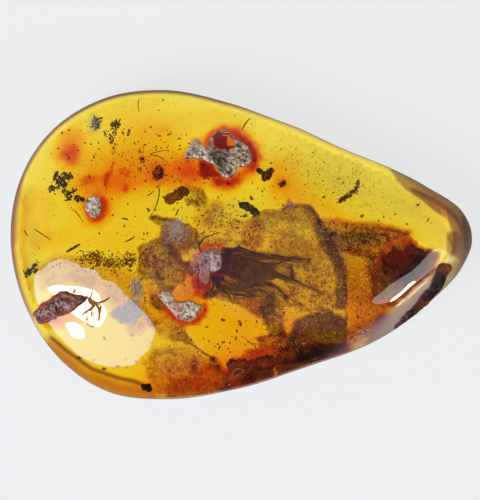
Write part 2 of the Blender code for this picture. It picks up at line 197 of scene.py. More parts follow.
class Shading:
    """A node material while it is being put together."""

    MIX_INPUTS = (0, 6, 7)
    MIX_OUTPUT = 2

    def __init__(self, name: str) -> None:
        """Starts an empty material."""
        self.material = bpy.data.materials.new(name)
        self.material.use_nodes = True
        self.tree = self.material.node_tree
        self.tree.nodes.clear()
        self.output = self.tree.nodes.new("ShaderNodeOutputMaterial")

    def add(self, kind: str, sockets: dict, **settings: object) -> bpy.types.NodeSocket:
        """Adds a node.

        Args:
            kind: The node's type.
            sockets: What each input holds: a value, or the output that it is linked to.
            settings: The node's own settings.

        Returns:
            Its first output.
        """
        node = self.tree.nodes.new(kind)
        for key, value in settings.items():
            setattr(node, key, value)
        for key, value in sockets.items():
            if isinstance(value, bpy.types.NodeSocket):
                self.tree.links.new(value, node.inputs[key])
            else:
                node.inputs[key].default_value = value
        return node.outputs[0]

    def where(self, scale: tuple = (1, 1, 1)) -> bpy.types.NodeSocket:
        """The place on the piece, stretched by a scale."""
        node = self.tree.nodes.new("ShaderNodeTexCoord")
        return self.add("ShaderNodeMapping", {"Vector": node.outputs["Object"], "Scale": scale})

    def noise(self, size: float, detail: float, rough: float, **more: object) -> bpy.types.NodeSocket:
        """Cloudy noise whose lumps are about a size in millimetres."""
        sockets = {"Vector": more.get("where") or self.where(), "Scale": 1 / (size * MM)}
        sockets |= {"Detail": detail, "Roughness": rough, "Distortion": more.get("distortion", 0.0)}
        return self.add("ShaderNodeTexNoise", sockets)

    def ramp(self, factor: bpy.types.NodeSocket, *stops: tuple) -> bpy.types.NodeSocket:
        """Colours along a factor.

        Args:
            factor: What chooses the colour.
            stops: Each a place from 0 to 1 and a grey or a colour there.

        Returns:
            The colour.
        """
        node = self.tree.nodes.new("ShaderNodeValToRGB")
        self.tree.links.new(factor, node.inputs[0])
        elements = node.color_ramp.elements
        while len(elements) < len(stops):
            elements.new(0.5)
        for element, (place, shade) in zip(elements, stops):
            element.position = place
            element.color = (*shade, 1) if isinstance(shade, tuple) else (shade, shade, shade, 1)
        return node.outputs[0]

    def math(
        self, operation: str, first: object, second: object, clamp: bool = False
    ) -> bpy.types.NodeSocket:
        """One step of arithmetic on two values or outputs."""
        return self.add("ShaderNodeMath", {0: first, 1: second}, operation=operation, use_clamp=clamp)

    def times(self, first: object, second: object, clamp: bool = False) -> bpy.types.NodeSocket:
        """The product of two values or outputs."""
        return self.math("MULTIPLY", first, second, clamp)

    def about_nothing(self, value: bpy.types.NodeSocket, share: float) -> bpy.types.NodeSocket:
        """A share of a noise's value, moved to swing about nothing."""
        return self.times(self.math("SUBTRACT", value, 0.5), share)

    def mix(
        self, factor: object, first: object, second: object, blend: str = "MIX"
    ) -> bpy.types.NodeSocket:
        """Two colours mixed by a factor."""
        node = self.tree.nodes.new("ShaderNodeMix")
        node.data_type = "RGBA"
        node.blend_type = blend
        node.clamp_result = True
        for index, value in zip(self.MIX_INPUTS, (factor, first, second)):
            if isinstance(value, bpy.types.NodeSocket):
                self.tree.links.new(value, node.inputs[index])
            else:
                node.inputs[index].default_value = (*value, 1) if isinstance(value, tuple) else value
        return node.outputs[self.MIX_OUTPUT]

    def attribute(self, name: str, kind: str = "Fac") -> bpy.types.NodeSocket:
        """A number, or a colour, that is kept on the piece's points."""
        node = self.tree.nodes.new("ShaderNodeAttribute")
        node.attribute_name = name
        return node.outputs[kind]

    def bump(
        self, height: bpy.types.NodeSocket, depth: float, strength: float = 1.0
    ) -> bpy.types.NodeSocket:
        """A bumped normal of a depth in millimetres."""
        return self.add("ShaderNodeBump", {"Height": height, "Distance": depth * MM, "Strength": strength})

    def finish(self, sockets: dict, volume: bpy.types.NodeSocket | None = None) -> bpy.types.Material:
        """Ends the material in a Principled shader.

        Args:
            sockets: What its inputs hold.
            volume: What fills a closed piece.

        Returns:
            The material.
        """
        shader = self.add("ShaderNodeBsdfPrincipled", sockets)
        self.tree.links.new(shader, self.output.inputs["Surface"])
        if volume:
            self.tree.links.new(volume, self.output.inputs["Volume"])
        return self.material

    def absorption(self, takes: tuple) -> bpy.types.NodeSocket:
        """A clear volume that takes each colour out of the light, per millimetre of depth."""
        density = max(takes) / MM
        passes = tuple(1 - part / MM / density for part in takes)
        return self.add("ShaderNodeVolumeAbsorption", {"Color": (*passes, 1), "Density": density})


@dataclass(frozen=True)
class ClearAmber:
    """Clear amber: it bends light and takes blue and some green out of it by depth."""

    refraction: float = 1.54
    takes: tuple = (0.022, 0.056, 0.40)

    def make(self, name: str = "clear_amber") -> bpy.types.Material:
        """The finish as a node material."""
        shading = Shading(name)
        tint = shading.attribute("tint", "Color")
        return shading.finish(
            {"Base Color": tint, "Transmission Weight": 1.0, "IOR": self.refraction, "Roughness": 0.0},
            shading.absorption(self.takes),
        )


@dataclass(frozen=True)
class PaintedRimFinish:
    """Painted rim shade and painted sheen: a thin, pale, uneven dull skin along the rim."""

    # The brown colour is the painted rim shade; the lilac colour is the painted sheen, a painted
    # reflection.
    brown: tuple = (0.25, 0.135, 0.082)
    painted_sheen: tuple = (0.33, 0.235, 0.205)
    roughness: float = 0.5
    patch: float = 1.4

    def make(self, name: str) -> bpy.types.Material:
        """The finish as a node material."""
        shading = Shading(name)
        cloud = shading.noise(self.patch, 4.0, 0.6)
        uneven = shading.ramp(cloud, (0.3, 0.75), (0.7, 1.0))
        return shading.finish(
            {
                "Base Color": shading.mix(shading.attribute("painted_sheen"), self.brown, self.painted_sheen),
                "Roughness": self.roughness,
                "Alpha": shading.times(shading.attribute("painted_rim"), uneven, clamp=True),
            }
        )


@dataclass(frozen=True)
class ResinStain:
    """Stained resin: colour only, with no surface of its own."""

    takes: tuple

    def make(self, name: str) -> bpy.types.Material:
        """The finish as a node material."""
        shading = Shading(name)
        return shading.finish(
            {"Base Color": (1, 1, 1, 1), "Transmission Weight": 1.0, "IOR": 1.0, "Roughness": 0.0},
            shading.absorption(self.takes),
        )


class Stain(Enum):
    """The stains in the resin."""

    GOLD = ResinStain((0.03, 0.40, 2.5))
    ORANGE = ResinStain((0.06, 0.75, 5.0))
    RED = ResinStain((0.34, 1.7, 5.5))
    MAROON = ResinStain((1.2, 4.0, 8.0))
    SMOKE = ResinStain((1.0, 1.1, 1.8))


@dataclass(frozen=True)
class Crusted:
    """Dry mineral crust: pale grains over dark hollows, painted shade in its hollows and valleys, red where
    the resin has stained it.
    """

    pale: tuple = (0.56, 0.41, 0.27)
    mid: tuple = (0.21, 0.125, 0.078)
    dark: tuple = (0.020, 0.010, 0.006)
    stained: tuple = (0.26, 0.022, 0.005)
    # The colour of the painted shade laid in the crust's valleys and hollows.
    hollow_shade_colour: tuple = (0.045, 0.024, 0.016)
    grain: float = 0.11
    patch: float = 0.8
    grit: float = 0.06
    stops: tuple = (0.41, 0.50, 0.65)

    def make(self, name: str) -> bpy.types.Material:
        """The finish as a node material."""
        shading = Shading(name)
        grains = shading.noise(self.grain, 5.0, 0.7)
        patches = shading.noise(self.patch, 3.0, 0.5)
        relief = shading.attribute("relief")
        # The kept relief makes low points darker and high grains paler: painted shade in the hollows.
        level = shading.math("ADD", shading.times(grains, 0.8), shading.times(relief, 0.3))
        level = shading.math("ADD", level, shading.about_nothing(patches, 0.5))
        colour = shading.ramp(level, *zip(self.stops, (self.dark, self.mid, self.pale)))
        ragged = shading.about_nothing(patches, 1.2)
        # Painted shade darkens the valleys; the stain reddens where the resin has stained the crust.
        for name_of, shade in (("hollow_shade", self.hollow_shade_colour), ("stained", self.stained)):
            mark = shading.attribute(name_of)
            amount = shading.times(mark, shading.math("ADD", ragged, 1.0), clamp=True)
            dim = shading.mix(shading.times(grains, 0.4), shade, colour)
            colour = shading.mix(amount, colour, dim)
        return shading.finish(
            {
                "Base Color": colour,
                "Specular IOR Level": 0.2,
                "Roughness": shading.ramp(grains, (0.3, 0.65), (0.7, 0.95)),
                "Normal": shading.bump(grains, self.grit),
            }
        )


@dataclass(frozen=True)
class Dusty:
    """Dark organic matter with grains, from one tone to another."""

    dark: tuple = (0.02, 0.012, 0.008)
    pale: tuple = (0.10, 0.06, 0.035)
    grain: float = 0.2
    grit: float = 0.04
    roughness: float = 0.6
    clear: float = 0.0

    def make(self, name: str) -> bpy.types.Material:
        """The finish as a node material."""
        shading = Shading(name)
        grains = shading.noise(self.grain, 6.0, 0.7)
        smoothest, roughest = self.roughness - 0.15, self.roughness + 0.2
        return shading.finish(
            {
                "Base Color": shading.ramp(grains, (0.35, self.dark), (0.7, self.pale)),
                "Transmission Weight": self.clear,
                "IOR": 1.3,
                "Roughness": shading.ramp(grains, (0.3, smoothest), (0.7, roughest)),
                "Normal": shading.bump(grains, self.grit),
            }
        )


@dataclass(frozen=True)
class DustFilm:
    """Dust on a flow boundary: it filters the light, more or less milky and broken up."""

    grain: float = 0.36
    mottle: float = 1.3
    net: float = 0.0
    warp: float = 0.6
    stretch: tuple = (1.0, 1.0, 1.0)

    def make(self, name: str) -> bpy.types.Material:
        """The finish as a node material."""
        shading = Shading(name)
        where = shading.where(self.stretch)
        fine = shading.noise(self.grain, 5.0, 0.65, where=where, distortion=0.4)
        broad = shading.noise(self.mottle, 4.0, 0.6, where=where, distortion=0.5)
        level = shading.math("ADD", shading.times(fine, 0.5), shading.times(broad, 0.5))
        pattern = shading.ramp(level, (0.45, 0.0), (0.56, 1.0))
        if self.net:
            reach = (self.warp * MM,) * 3
            push = shading.add("ShaderNodeVectorMath", {0: fine, 1: reach}, operation="MULTIPLY")
            warped = shading.add("ShaderNodeVectorMath", {0: where, 1: push}, operation="ADD")
            sockets = {"Vector": warped, "Scale": 1 / (self.net * MM)}
            cells = shading.add("ShaderNodeTexVoronoi", sockets, feature="DISTANCE_TO_EDGE")
            lines = shading.math("ADD", cells, shading.about_nothing(broad, 0.7))
            pattern = shading.ramp(lines, (0.0, 1.0), (0.2, 0.0))
        tint = shading.attribute("tint", "Color")
        thin = shading.mix(0.62, tint, (1.0, 1.0, 1.0))
        dense = shading.mix(1.0, tint, tint, "MULTIPLY")
        lace = shading.mix(pattern, thin, dense)
        uneven = shading.math("ADD", shading.times(pattern, 0.6), 0.7)
        milk = shading.times(shading.attribute("milk"), uneven)
        return shading.finish(
            {
                "Base Color": shading.mix(shading.attribute("lace"), tint, lace),
                "Transmission Weight": shading.math("SUBTRACT", 1.0, milk, clamp=True),
                "IOR": 1.0,
                "Roughness": 0.0,
                "Normal": shading.bump(level, 0.1, 0.5),
            }
        )


@dataclass(frozen=True)
class Chitin:
    """The animal's skin: brown and smooth, a little glossy."""

    dark: tuple = (0.085, 0.030, 0.032)
    pale: tuple = (0.25, 0.090, 0.085)
    roughness: float = 0.6
    patch: float = 0.6
    grain: float = 0.09
    grit: float = 0.01

    def make(self, name: str) -> bpy.types.Material:
        """The finish as a node material."""
        shading = Shading(name)
        patches = shading.noise(self.patch, 5.0, 0.6)
        return shading.finish(
            {
                "Base Color": shading.ramp(patches, (0.35, self.dark), (0.7, self.pale)),
                "Roughness": self.roughness,
                "Specular IOR Level": 0.15,
                "Normal": shading.bump(shading.noise(self.grain, 3.0, 0.6), self.grit),
            }
        )


def finished(
    bm: bmesh.types.BMesh, name: str, material: bpy.types.Material, smooth: bool = True
) -> bpy.types.Object:
    """A shape in millimetres made into a piece in metres that rides on the root body.

    Args:
        bm: The shape, which is freed.
        name: The piece's name.
        material: Its finish.
        smooth: Whether its faces are shaded smooth.

    Returns:
        The piece, at the origin.
    """
    bmesh.ops.scale(bm, vec=(MM, MM, MM), verts=bm.verts)
    bmesh.ops.recalc_face_normals(bm, faces=bm.faces)
    mesh = bpy.data.meshes.new(name)
    bm.to_mesh(mesh)
    bm.free()
    if smooth:
        mesh.shade_smooth()
    mesh.materials.append(material)
    piece = bpy.data.objects.new(name, mesh)
    bpy.context.scene.collection.objects.link(piece)
    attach(piece, "root")
    LOG.info("%s: %d faces", name, len(mesh.polygons))
    return piece


def fused(bm: bmesh.types.BMesh, voxel: float) -> bmesh.types.BMesh:
    """Overlapping closed shapes fused into one skin.

    Args:
        bm: The shapes, which are freed.
        voxel: The skin's fineness in millimetres.

    Returns:
        The fused shape.
    """
    mesh = bpy.data.meshes.new("fused")
    bm.to_mesh(mesh)
    bm.free()
    helper = bpy.data.objects.new("fused", mesh)
    bpy.context.scene.collection.objects.link(helper)
    modifier = helper.modifiers.new("fuse", "REMESH")
    modifier.mode = "VOXEL"
    modifier.voxel_size = voxel
    graph = bpy.context.evaluated_depsgraph_get()
    whole = bpy.data.meshes.new_from_object(helper.evaluated_get(graph))
    result = bmesh.new()
    result.from_mesh(whole)
    bpy.data.objects.remove(helper)
    bpy.data.meshes.remove(mesh)
    bpy.data.meshes.remove(whole)
    return result


def turbulence(place: Vector, size: float, octaves: int = 4) -> float:
    """Layered noise about 0, with lumps of a size in millimetres."""
    return noise.fractal(place / size, 0.9, 2.1, octaves)


def sideways(place: Vector, size: float, apart: tuple) -> Vector:
    """A push along and across by layered noise, read a second time at a place apart from the first."""
    return Vector((turbulence(place, size), turbulence(place + Vector(apart), size), 0))


def any_way(chance: random.Random) -> Vector:
    """A step of about one in any direction."""
    return Vector((chance.gauss(0, 1), chance.gauss(0, 1), chance.gauss(0, 1)))


def trim(bm: bmesh.types.BMesh, bare: list) -> None:
    """Deletes the bare points, and then each point that is left without a face."""
    bmesh.ops.delete(bm, geom=bare, context="VERTS")
    loose = [vert for vert in bm.verts if not vert.link_faces]
    bmesh.ops.delete(bm, geom=loose, context="VERTS")


def doubled(bm: bmesh.types.BMesh) -> list:
    """Closes a sheet with a second one joined to it at the edges, and returns the new one's points."""
    made = bmesh.ops.extrude_face_region(bm, geom=bm.faces[:], use_keep_orig=True)["geom"]
    return [item for item in made if isinstance(item, bmesh.types.BMVert)]


@dataclass(frozen=True)
class Lump:
    """A rough rounded lump: its middle, its size along, across and through, and its turn."""

    x: float
    y: float
    z: float
    size: tuple
    turn: float = 0.0

    def matrix(self) -> Matrix:
        """Where a ball one millimetre across goes to become this lump."""
        turn = Matrix.Rotation(math.radians(self.turn), 4, "Z")
        middle = Matrix.Translation((self.x, self.y, self.z))
        return middle @ turn @ Matrix.Diagonal((*self.size, 1))


@dataclass
class Rock:
    """Lumps fused into one gnarled piece, in place of a solid."""

    name: str
    node: str
    slot: str
    lumps: tuple
    finish: object
    knobs: int = 24
    knob_size: tuple = (0.2, 0.5)
    core: float = 0.9
    voxel: float = 0.06
    knob_stretch: tuple = ((0.7, 1.6), (0.7, 1.3), (0.5, 1.0))
    relief: float = 0.14
    grain: float = 0.3
    bulging: float = 0.6
    pitting: float = 0.8
    swelling: float = 0.15

    def build(self) -> bpy.types.Object:
        """Models the lumps and their knobs, fuses and roughens them, and dresses them."""
        bm = bmesh.new()
        chance = random.Random(self.name)
        for lump in self.lumps:
            bmesh.ops.create_icosphere(bm, subdivisions=4, radius=self.core / 2, matrix=lump.matrix())
        for _ in range(self.knobs):
            lump = chance.choice(self.lumps)
            way = any_way(chance).normalized() * 0.5 * self.core
            size = chance.uniform(*self.knob_size)
            matrix = Matrix.Translation(lump.matrix() @ way)
            stretch = (*(chance.uniform(*span) for span in self.knob_stretch), 1)
            turn = Matrix.Rotation(chance.uniform(0, TAU), 4, "Z")
            matrix = matrix @ turn @ Matrix.Diagonal(stretch)
            bmesh.ops.create_icosphere(bm, subdivisions=2, radius=size / 2, matrix=matrix)
        bm = fused(bm, self.voxel)
        self.roughen(bm)
        piece = finished(bm, self.name, self.finish.make(self.name))
        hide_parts(self.node)
        return piece

    def roughen(self, bm: bmesh.types.BMesh) -> None:
        """Moves each point in or out by layered noise, and keeps how far on the point, which a crust finish
        makes into painted shade in the hollows.
        """
        kept = bm.verts.layers.float.new("relief")
        bm.normal_update()
        for vert in bm.verts:
            rise = turbulence(vert.co, self.grain, 5)
            pits = -abs(noise.noise(vert.co / (self.grain * 0.6)))
            rise = self.bulging * rise + self.pitting * pits + self.swelling
            vert[kept] = 0.5 + 0.5 * rise
            vert.co += vert.normal * rise * self.relief


def nearest(route: tuple, x: float, y: float) -> float:
    """The squared distance from a place to a route."""
    near = FAR
    for (x0, y0), (x1, y1) in zip(route, route[1:]):
        dx, dy = x1 - x0, y1 - y0
        part = max(0.0, min(1.0, ((x - x0) * dx + (y - y0) * dy) / (dx * dx + dy * dy)))
        near = min(near, (x - x0 - dx * part) ** 2 + (y - y0 - dy * part) ** 2)
    return near


@dataclass(frozen=True)
class Spot:
    """A soft round mark: where it is seen, its half-lengths, how strong it is, its turn and edge."""

    at: tuple
    size: tuple
    strength: float
    turn: float = 0.0
    edge: float = 1.0

    def level(self, x: float, y: float) -> float:
        """How strong the mark is at a place."""
        across, up = x - self.at[0], y - self.at[1]
        around = math.radians(self.turn)
        along = (across * math.cos(around) + up * math.sin(around)) / self.size[0]
        beside = (up * math.cos(around) - across * math.sin(around)) / self.size[1]
        away = along * along + beside * beside
        return self.strength * math.exp(-(away**self.edge)) if away < FADE_END else 0.0


@dataclass(frozen=True)
class Streak:
    """A soft mark along a route: where it is seen, its half-width and how strong it is."""

    route: tuple
    width: float
    strength: float
    edge: float = 1.0

    def level(self, x: float, y: float) -> float:
        """How strong the mark is at a place."""
        away = nearest(self.route, x, y) / self.width**2
        return self.strength * math.exp(-(away**self.edge)) if away < FADE_END else 0.0


def depth_inside(outline: tuple, x: float, y: float) -> float:
    """Distance to a closed outline, above nothing inside it."""
    closed = outline + outline[:1]
    away = math.sqrt(nearest(closed, x, y))
    within = False
    for (x0, y0), (x1, y1) in zip(closed, closed[1:]):
        if (y0 > y) != (y1 > y) and x < x0 + (y - y0) / (y1 - y0) * (x1 - x0):
            within = not within
    return away if within else -away


@dataclass(frozen=True)
class Patch:
    """An even mark in an outline: its strength, the width it fades over, and how far it spreads."""

    outline: tuple
    strength: float
    edge: float = 0.3
    spread: float = 0.0

    @cached_property
    def box(self) -> tuple:
        """Lowest and highest x and y that the mark reaches."""
        across, up = zip(*self.outline)
        reach = self.spread + self.edge
        return min(across) - reach, max(across) + reach, min(up) - reach, max(up) + reach

    def level(self, x: float, y: float) -> float:
        """How strong the mark is at a place."""
        left, right, low, high = self.box
        if not (left < x < right and low < y < high):
            return 0.0
        part = (depth_inside(self.outline, x, y) + self.spread) / self.edge + 0.5
        part = max(0.0, min(1.0, part))
        return self.strength * part * part * (3 - 2 * part)


def tenths(*numbers: float) -> tuple:
    """Seen places on the grid they were laid out on.

    Args:
        numbers: Tenths of a millimetre, along and across in turn. The grid's own origin lies half
            a tenth past the frame's along X, and a quarter of a tenth short of it along Y.

    Returns:
        The places in millimetres in the frame's axes.
    """
    pairs = zip(numbers[::2], numbers[1::2])
    return tuple((round((along + 0.5) / 10, 2), round((across - 0.25) / 10, 2)) for along, across in pairs)


def spot(along: float, across: float, length: float, width: float, *look: float) -> Spot:
    """A spot from its place in tenths, its half-lengths in millimetres, its strength, turn and edge."""
    return Spot(*tenths(along, across), (length, width), *look)


def total(marks: Iterable, x: float, y: float) -> float:
    """All the marks' strengths at a place."""
    return sum(mark.level(x, y) for mark in marks)


@dataclass
class Sheet:
    """A flat grid of points at seen places, trimmed to the drop."""

    low: tuple = (-23.0, -15.4)
    high: tuple = (23.0, 15.4)
    step: float = 0.2
    most_share: float = 0.965

    def grid(self) -> bmesh.types.BMesh:
        """The flat grid at seen places, trimmed to the drop."""
        bm = bmesh.new()
        width, depth = self.high[0] - self.low[0], self.high[1] - self.low[1]
        columns, rows = max(round(width / self.step), 1), max(round(depth / self.step), 1)
        bmesh.ops.create_grid(bm, x_segments=columns, y_segments=rows, size=0.5)
        bmesh.ops.scale(bm, vec=(width, depth, 1), verts=bm.verts)
        middle = ((self.low[0] + self.high[0]) / 2, (self.low[1] + self.high[1]) / 2, 0)
        bmesh.ops.translate(bm, vec=middle, verts=bm.verts)
        outside = [vert for vert in bm.verts if FORM.share(vert.co.x, vert.co.y) > self.most_share]
        bmesh.ops.delete(bm, geom=outside, context="VERTS")
        return bm


@dataclass
class Scab:
    """Dry crust in an open pit, in place of its solid: a rough slab that follows the dome."""

    name: str
    node: str
    slot: str
    outline: tuple
    finish: Crusted = field(default_factory=Crusted)
    rises: tuple = ()
    stained: tuple = ()
    # Marks of painted shade in the crust's valleys and hollows.
    hollow_shade: tuple = ()
    holes: tuple = ()
    proud: float = 0.16
    depth: float = 0.45
    relief: float = 0.12
    grain: float = 0.3
    ragged: float = 0.1
    tear: float = 0.5
    hole_ragged: float = 0.25
    slope: float = 0.3
    stained_rim: float = 0.25
    step: float = 0.06
    most_share: float = 0.992

    def roughness(self, place: Vector) -> float:
        """How far the grains rise above or sink below the slab at a place, about nothing."""
        hollow = abs(noise.noise(place / (self.grain * 0.45)))
        return turbulence(place, self.grain, 5) - 0.8 * hollow + 0.25

    def build(self) -> bpy.types.Object:
        """Models the slab and its relief, keeps its stains on its points, and dresses it."""
        across, up = zip(*self.outline)
        low = (min(across) - self.slope, min(up) - self.slope)
        high = (max(across) + self.slope, max(up) + self.slope)
        bm = Sheet(low, high, self.step, self.most_share).grid()
        rise = bm.verts.layers.float.new("rise")
        kept = bm.verts.layers.float.new("relief")
        stained = bm.verts.layers.float.new("stained")
        hollow_shade = bm.verts.layers.float.new("hollow_shade")
        bare = []
        for vert in bm.verts:
            x, y = vert.co.x, vert.co.y
            tearing = turbulence(vert.co, self.tear)
            inside = depth_inside(self.outline, x, y) + self.ragged * tearing
            if inside < 0 or total(self.holes, x, y) + self.hole_ragged * tearing > 0.5:
                bare.append(vert)
                continue
            edge = min(1.0, inside / self.slope)
            rough = self.roughness(vert.co)
            # Kept for the finish's painted shade in the hollows.
            vert[kept] = 0.5 + 0.5 * rough
            vert[rise] = self.proud * math.sqrt(edge) + self.relief * rough * edge + total(self.rises, x, y)
            vert[stained] = total(self.stained, x, y) + max(0.0, self.stained_rim - 2 * inside)
            vert[hollow_shade] = total(self.hollow_shade, x, y)
        trim(bm, bare)
        lower = set(doubled(bm))
        for vert in bm.verts:
            x, y = vert.co.x, vert.co.y
            vert.co = Vector((x, y, FORM.dome_z(x, y)))
            vert.co += FORM.normal(x, y, 0.05) * (-self.depth if vert in lower else vert[rise])
        piece = finished(bm, self.name, self.finish.make(self.name))
        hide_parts(self.node)
        return piece


@dataclass
class Rubble:
    """Loose fragments heaped where a solid is, in its place."""

    name: str
    node: str
    slot: str
    lumps: tuple
    finish: object
    count: int = 220
    size: tuple = (0.10, 0.42)
    crowd: float = 0.24
    farthest: float = 0.55
    fineness: float = 2.2
    tilt: float = 0.9
    stretch: tuple = ((0.8, 2.4), (0.5, 1.0), (0.3, 0.7))
    roughness: float = 0.45

    def build(self) -> bpy.types.Object:
        """Heaps the fragments and dresses them."""
        chance = random.Random(self.name)
        bm = bmesh.new()
        for _ in range(self.count):
            lump = chance.choice(self.lumps)
            way = any_way(chance) * self.crowd
            if way.length > self.farthest:
                continue
            low, high = self.size
            size = low + (high - low) * chance.random() ** self.fineness
            turn = Matrix.Rotation(chance.uniform(0, TAU), 4, "Z")
            turn = turn @ Matrix.Rotation(chance.uniform(-self.tilt, self.tilt), 4, "X")
            stretch = (*(size * chance.uniform(*span) for span in self.stretch), 1)
            matrix = Matrix.Translation(lump.matrix() @ way) @ turn @ Matrix.Diagonal(stretch)
            made = bmesh.ops.create_icosphere(bm, subdivisions=1, radius=0.5)["verts"]
            for vert in made:
                vert.co *= 1 + self.roughness * noise.noise(vert.co * 4 + Vector((size * 90, 0, 0)))
            bmesh.ops.transform(bm, matrix=matrix, verts=made)
        piece = finished(bm, self.name, self.finish.make(self.name))
        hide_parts(self.node)
        return piece


@dataclass
class StainCloud:
    """Lenses of stained resin: closed, and thicker where the stain is stronger."""

    name: str
    stain: Stain
    marks: tuple
    level: float
    sheet: Sheet = field(default_factory=Sheet)
    ragged: float = 0.35
    grain: float = 1.6
    least: float = 0.03
    drape: bool = False

    def build(self) -> bpy.types.Object:
        """Models the lenses and dresses them."""
        bm = self.sheet.grid()
        thick = bm.verts.layers.float.new("thick")
        for vert in bm.verts:
            shifted = vert.co + sideways(vert.co, self.grain, (9, 4, 2)) * self.ragged
            depth = total(self.marks, shifted.x, shifted.y)
            uneven = 0.5 * self.ragged * turbulence(vert.co * 2.3, self.grain)
            vert[thick] = depth * (1 + uneven) - self.least
        trim(bm, [vert for vert in bm.verts if vert[thick] <= 0])
        top = doubled(bm)
        for vert in bm.verts:
            z = FORM.dome_z(vert.co.x, vert.co.y) - self.level if self.drape else self.level
            vert.co = FORM.under(vert.co.x, vert.co.y, z)
            vert.co.z -= vert[thick] / 2
        for vert in top:
            vert.co.z += vert[thick]
        piece = finished(bm, self.name, self.stain.value.make(self.name))
        return piece


class Tone(Enum):
    """What each kind of dust, and the painted sheen, takes out of the light: red, green and blue."""

    GOLD = (0.20, 0.55, 0.9)
    OLIVE = (1.1, 1.55, 1.0)
    BROWN = (1.4, 2.2, 1.5)
    RUST = (0.9, 2.3, 2.4)
    MAROON = (1.6, 3.6, 3.0)
    PURPLE = (1.25, 1.9, 0.5)
    BLACK = (3.0, 3.6, 3.6)
    CRIMSON = (0.85, 3.3, 3.2)
    ASH = (0.85, 1.08, 1.3)
    # The tone of painted sheen, a painted highlight, not of a dust.
    PAINTED_SHEEN = (0.45, 0.62, 0.40)


@dataclass(frozen=True)
class Wash:
    """A mark of dust, of painted shade or of painted sheen: where it is, its tone, how milky and how broken
    up it is.
    """

    tone: Tone
    mark: object
    milk: float = 0.12
    lace: float = 0.45


@dataclass
class FilmSheet:
    """A film of dust on a flow boundary, painted with washes, some of which are painted shadow or painted
    sheen.
    """

    name: str
    washes: tuple
    clears: tuple = ()
    node: str = ""
    finish: DustFilm = field(default_factory=DustFilm)
    level: float = 4.6
    wave: float = 0.05
    wave_size: float = 2.5
    thick: float = 0.04
    ragged: float = 0.12
    grain: float = 0.7
    step: float = 0.1
    least: float = 0.02
    milkiest: float = 0.95
    drape: bool = False
    most_share: float = 0.965

    def box(self) -> tuple:
        """Lowest and highest corner that the washes reach."""
        left, right, low, high = zip(*(self.reach(wash.mark) for wash in self.washes))
        return (min(left), min(low)), (max(right), max(high))

    def reach(self, mark: object) -> tuple:
        """Lowest and highest x and y of a mark."""
        if isinstance(mark, Patch):
            return mark.box
        if isinstance(mark, Spot):
            far = 1.6 * max(mark.size)
            return mark.at[0] - far, mark.at[0] + far, mark.at[1] - far, mark.at[1] + far
        across, up = zip(*mark.route)
        far = 1.6 * mark.width
        return min(across) - far, max(across) + far, min(up) - far, max(up) + far

    def build(self) -> bpy.types.Object:
        """Models the film, paints its points and dresses it."""
        bm = Sheet(*self.box(), self.step, self.most_share).grid()
        tint = bm.verts.layers.float_color.new("tint")
        milk = bm.verts.layers.float.new("milk")
        lace = bm.verts.layers.float.new("lace")
        bare = []
        for vert in bm.verts:
            x, y, _ = vert.co + sideways(vert.co, self.grain, (7, 3, 5)) * self.ragged
            takes = [0.0, 0.0, 0.0]
            whole = 0.0
            kept = 1 - min(1.0, total(self.clears, x, y))
            for wash in self.washes:
                strength = wash.mark.level(x, y) * kept
                if strength == 0:
                    continue
                whole += abs(strength)
                vert[milk] += wash.milk * strength
                vert[lace] += wash.lace * abs(strength)
                for band in range(3):
                    takes[band] += strength * wash.tone.value[band]
            if whole < self.least:
                bare.append(vert)
                continue
            vert[tint] = (*(math.exp(-max(0.0, take)) for take in takes), 1.0)
            vert[milk] = max(0.0, min(self.milkiest, vert[milk]))
            vert[lace] = min(1.0, vert[lace] / whole)
        trim(bm, bare)
        for vert in bm.verts:
            lift = self.wave * turbulence(vert.co, self.wave_size)
            z = FORM.dome_z(vert.co.x, vert.co.y) - self.level if self.drape else self.level
            vert.co = FORM.under(vert.co.x, vert.co.y, z)
            vert.co.z += lift
        bmesh.ops.translate(bm, vec=(0, 0, self.thick), verts=doubled(bm))
        piece = finished(bm, self.name, self.finish.make(self.name))
        if self.node:
            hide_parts(self.node)
        return piece


def smooth_route(route: tuple, steps: int = 5) -> list[Vector]:
    """Points along a smooth curve through a route's places.

    Args:
        route: The places, each three numbers.
        steps: How many points between one place and the next.

    Returns:
        The points, ends included.
    """
    places = [Vector(place) for place in route]
    places = [2 * places[0] - places[1], *places, 2 * places[-1] - places[-2]]
    found = []
    for a, b, c, d in zip(places, places[1:], places[2:], places[3:]):
        for step in range(steps):
            t = step / steps
            bend = (2 * a - 5 * b + 4 * c - d) * t * t
            twist = (3 * b - a - 3 * c + d) * t**3
            found.append(0.5 * (2 * b + (c - a) * t + bend + twist))
    return [*found, places[-2]]


def add_limb(bm: bmesh.types.BMesh, points: list[Vector], radii: list[float], sides: int = 6) -> None:
    """Sweeps a ring along points, as thick as the radii say, and closes both ends.

    Args:
        bm: What it is added to.
        points: The limb's middle line.
        radii: Its thickness at each point.
        sides: How many sides the ring has.
    """

    def frame_at(index: int) -> Matrix:
        """The ring's place at a point: across the limb, and as large as it is there."""
        way = points[min(index + 1, len(points) - 1)] - points[max(index - 1, 0)]
        turn = UP.rotation_difference(way).to_matrix().to_4x4()
        return Matrix.Translation(points[index]) @ turn @ Matrix.Scale(radii[index], 4)

    ring = bmesh.ops.create_circle(bm, cap_ends=True, segments=sides, radius=1, matrix=frame_at(0))["verts"]
    edges = list({edge for vert in ring for edge in vert.link_edges})
    for index in range(1, len(points)):
        made = bmesh.ops.extrude_edge_only(bm, edges=edges)["geom"]
        verts = [item for item in made if isinstance(item, bmesh.types.BMVert)]
        edges = [item for item in made if isinstance(item, bmesh.types.BMEdge) and item.is_boundary]
        bmesh.ops.transform(bm, matrix=frame_at(index) @ frame_at(index - 1).inverted(), verts=verts)
    bmesh.ops.contextual_create(bm, geom=edges)


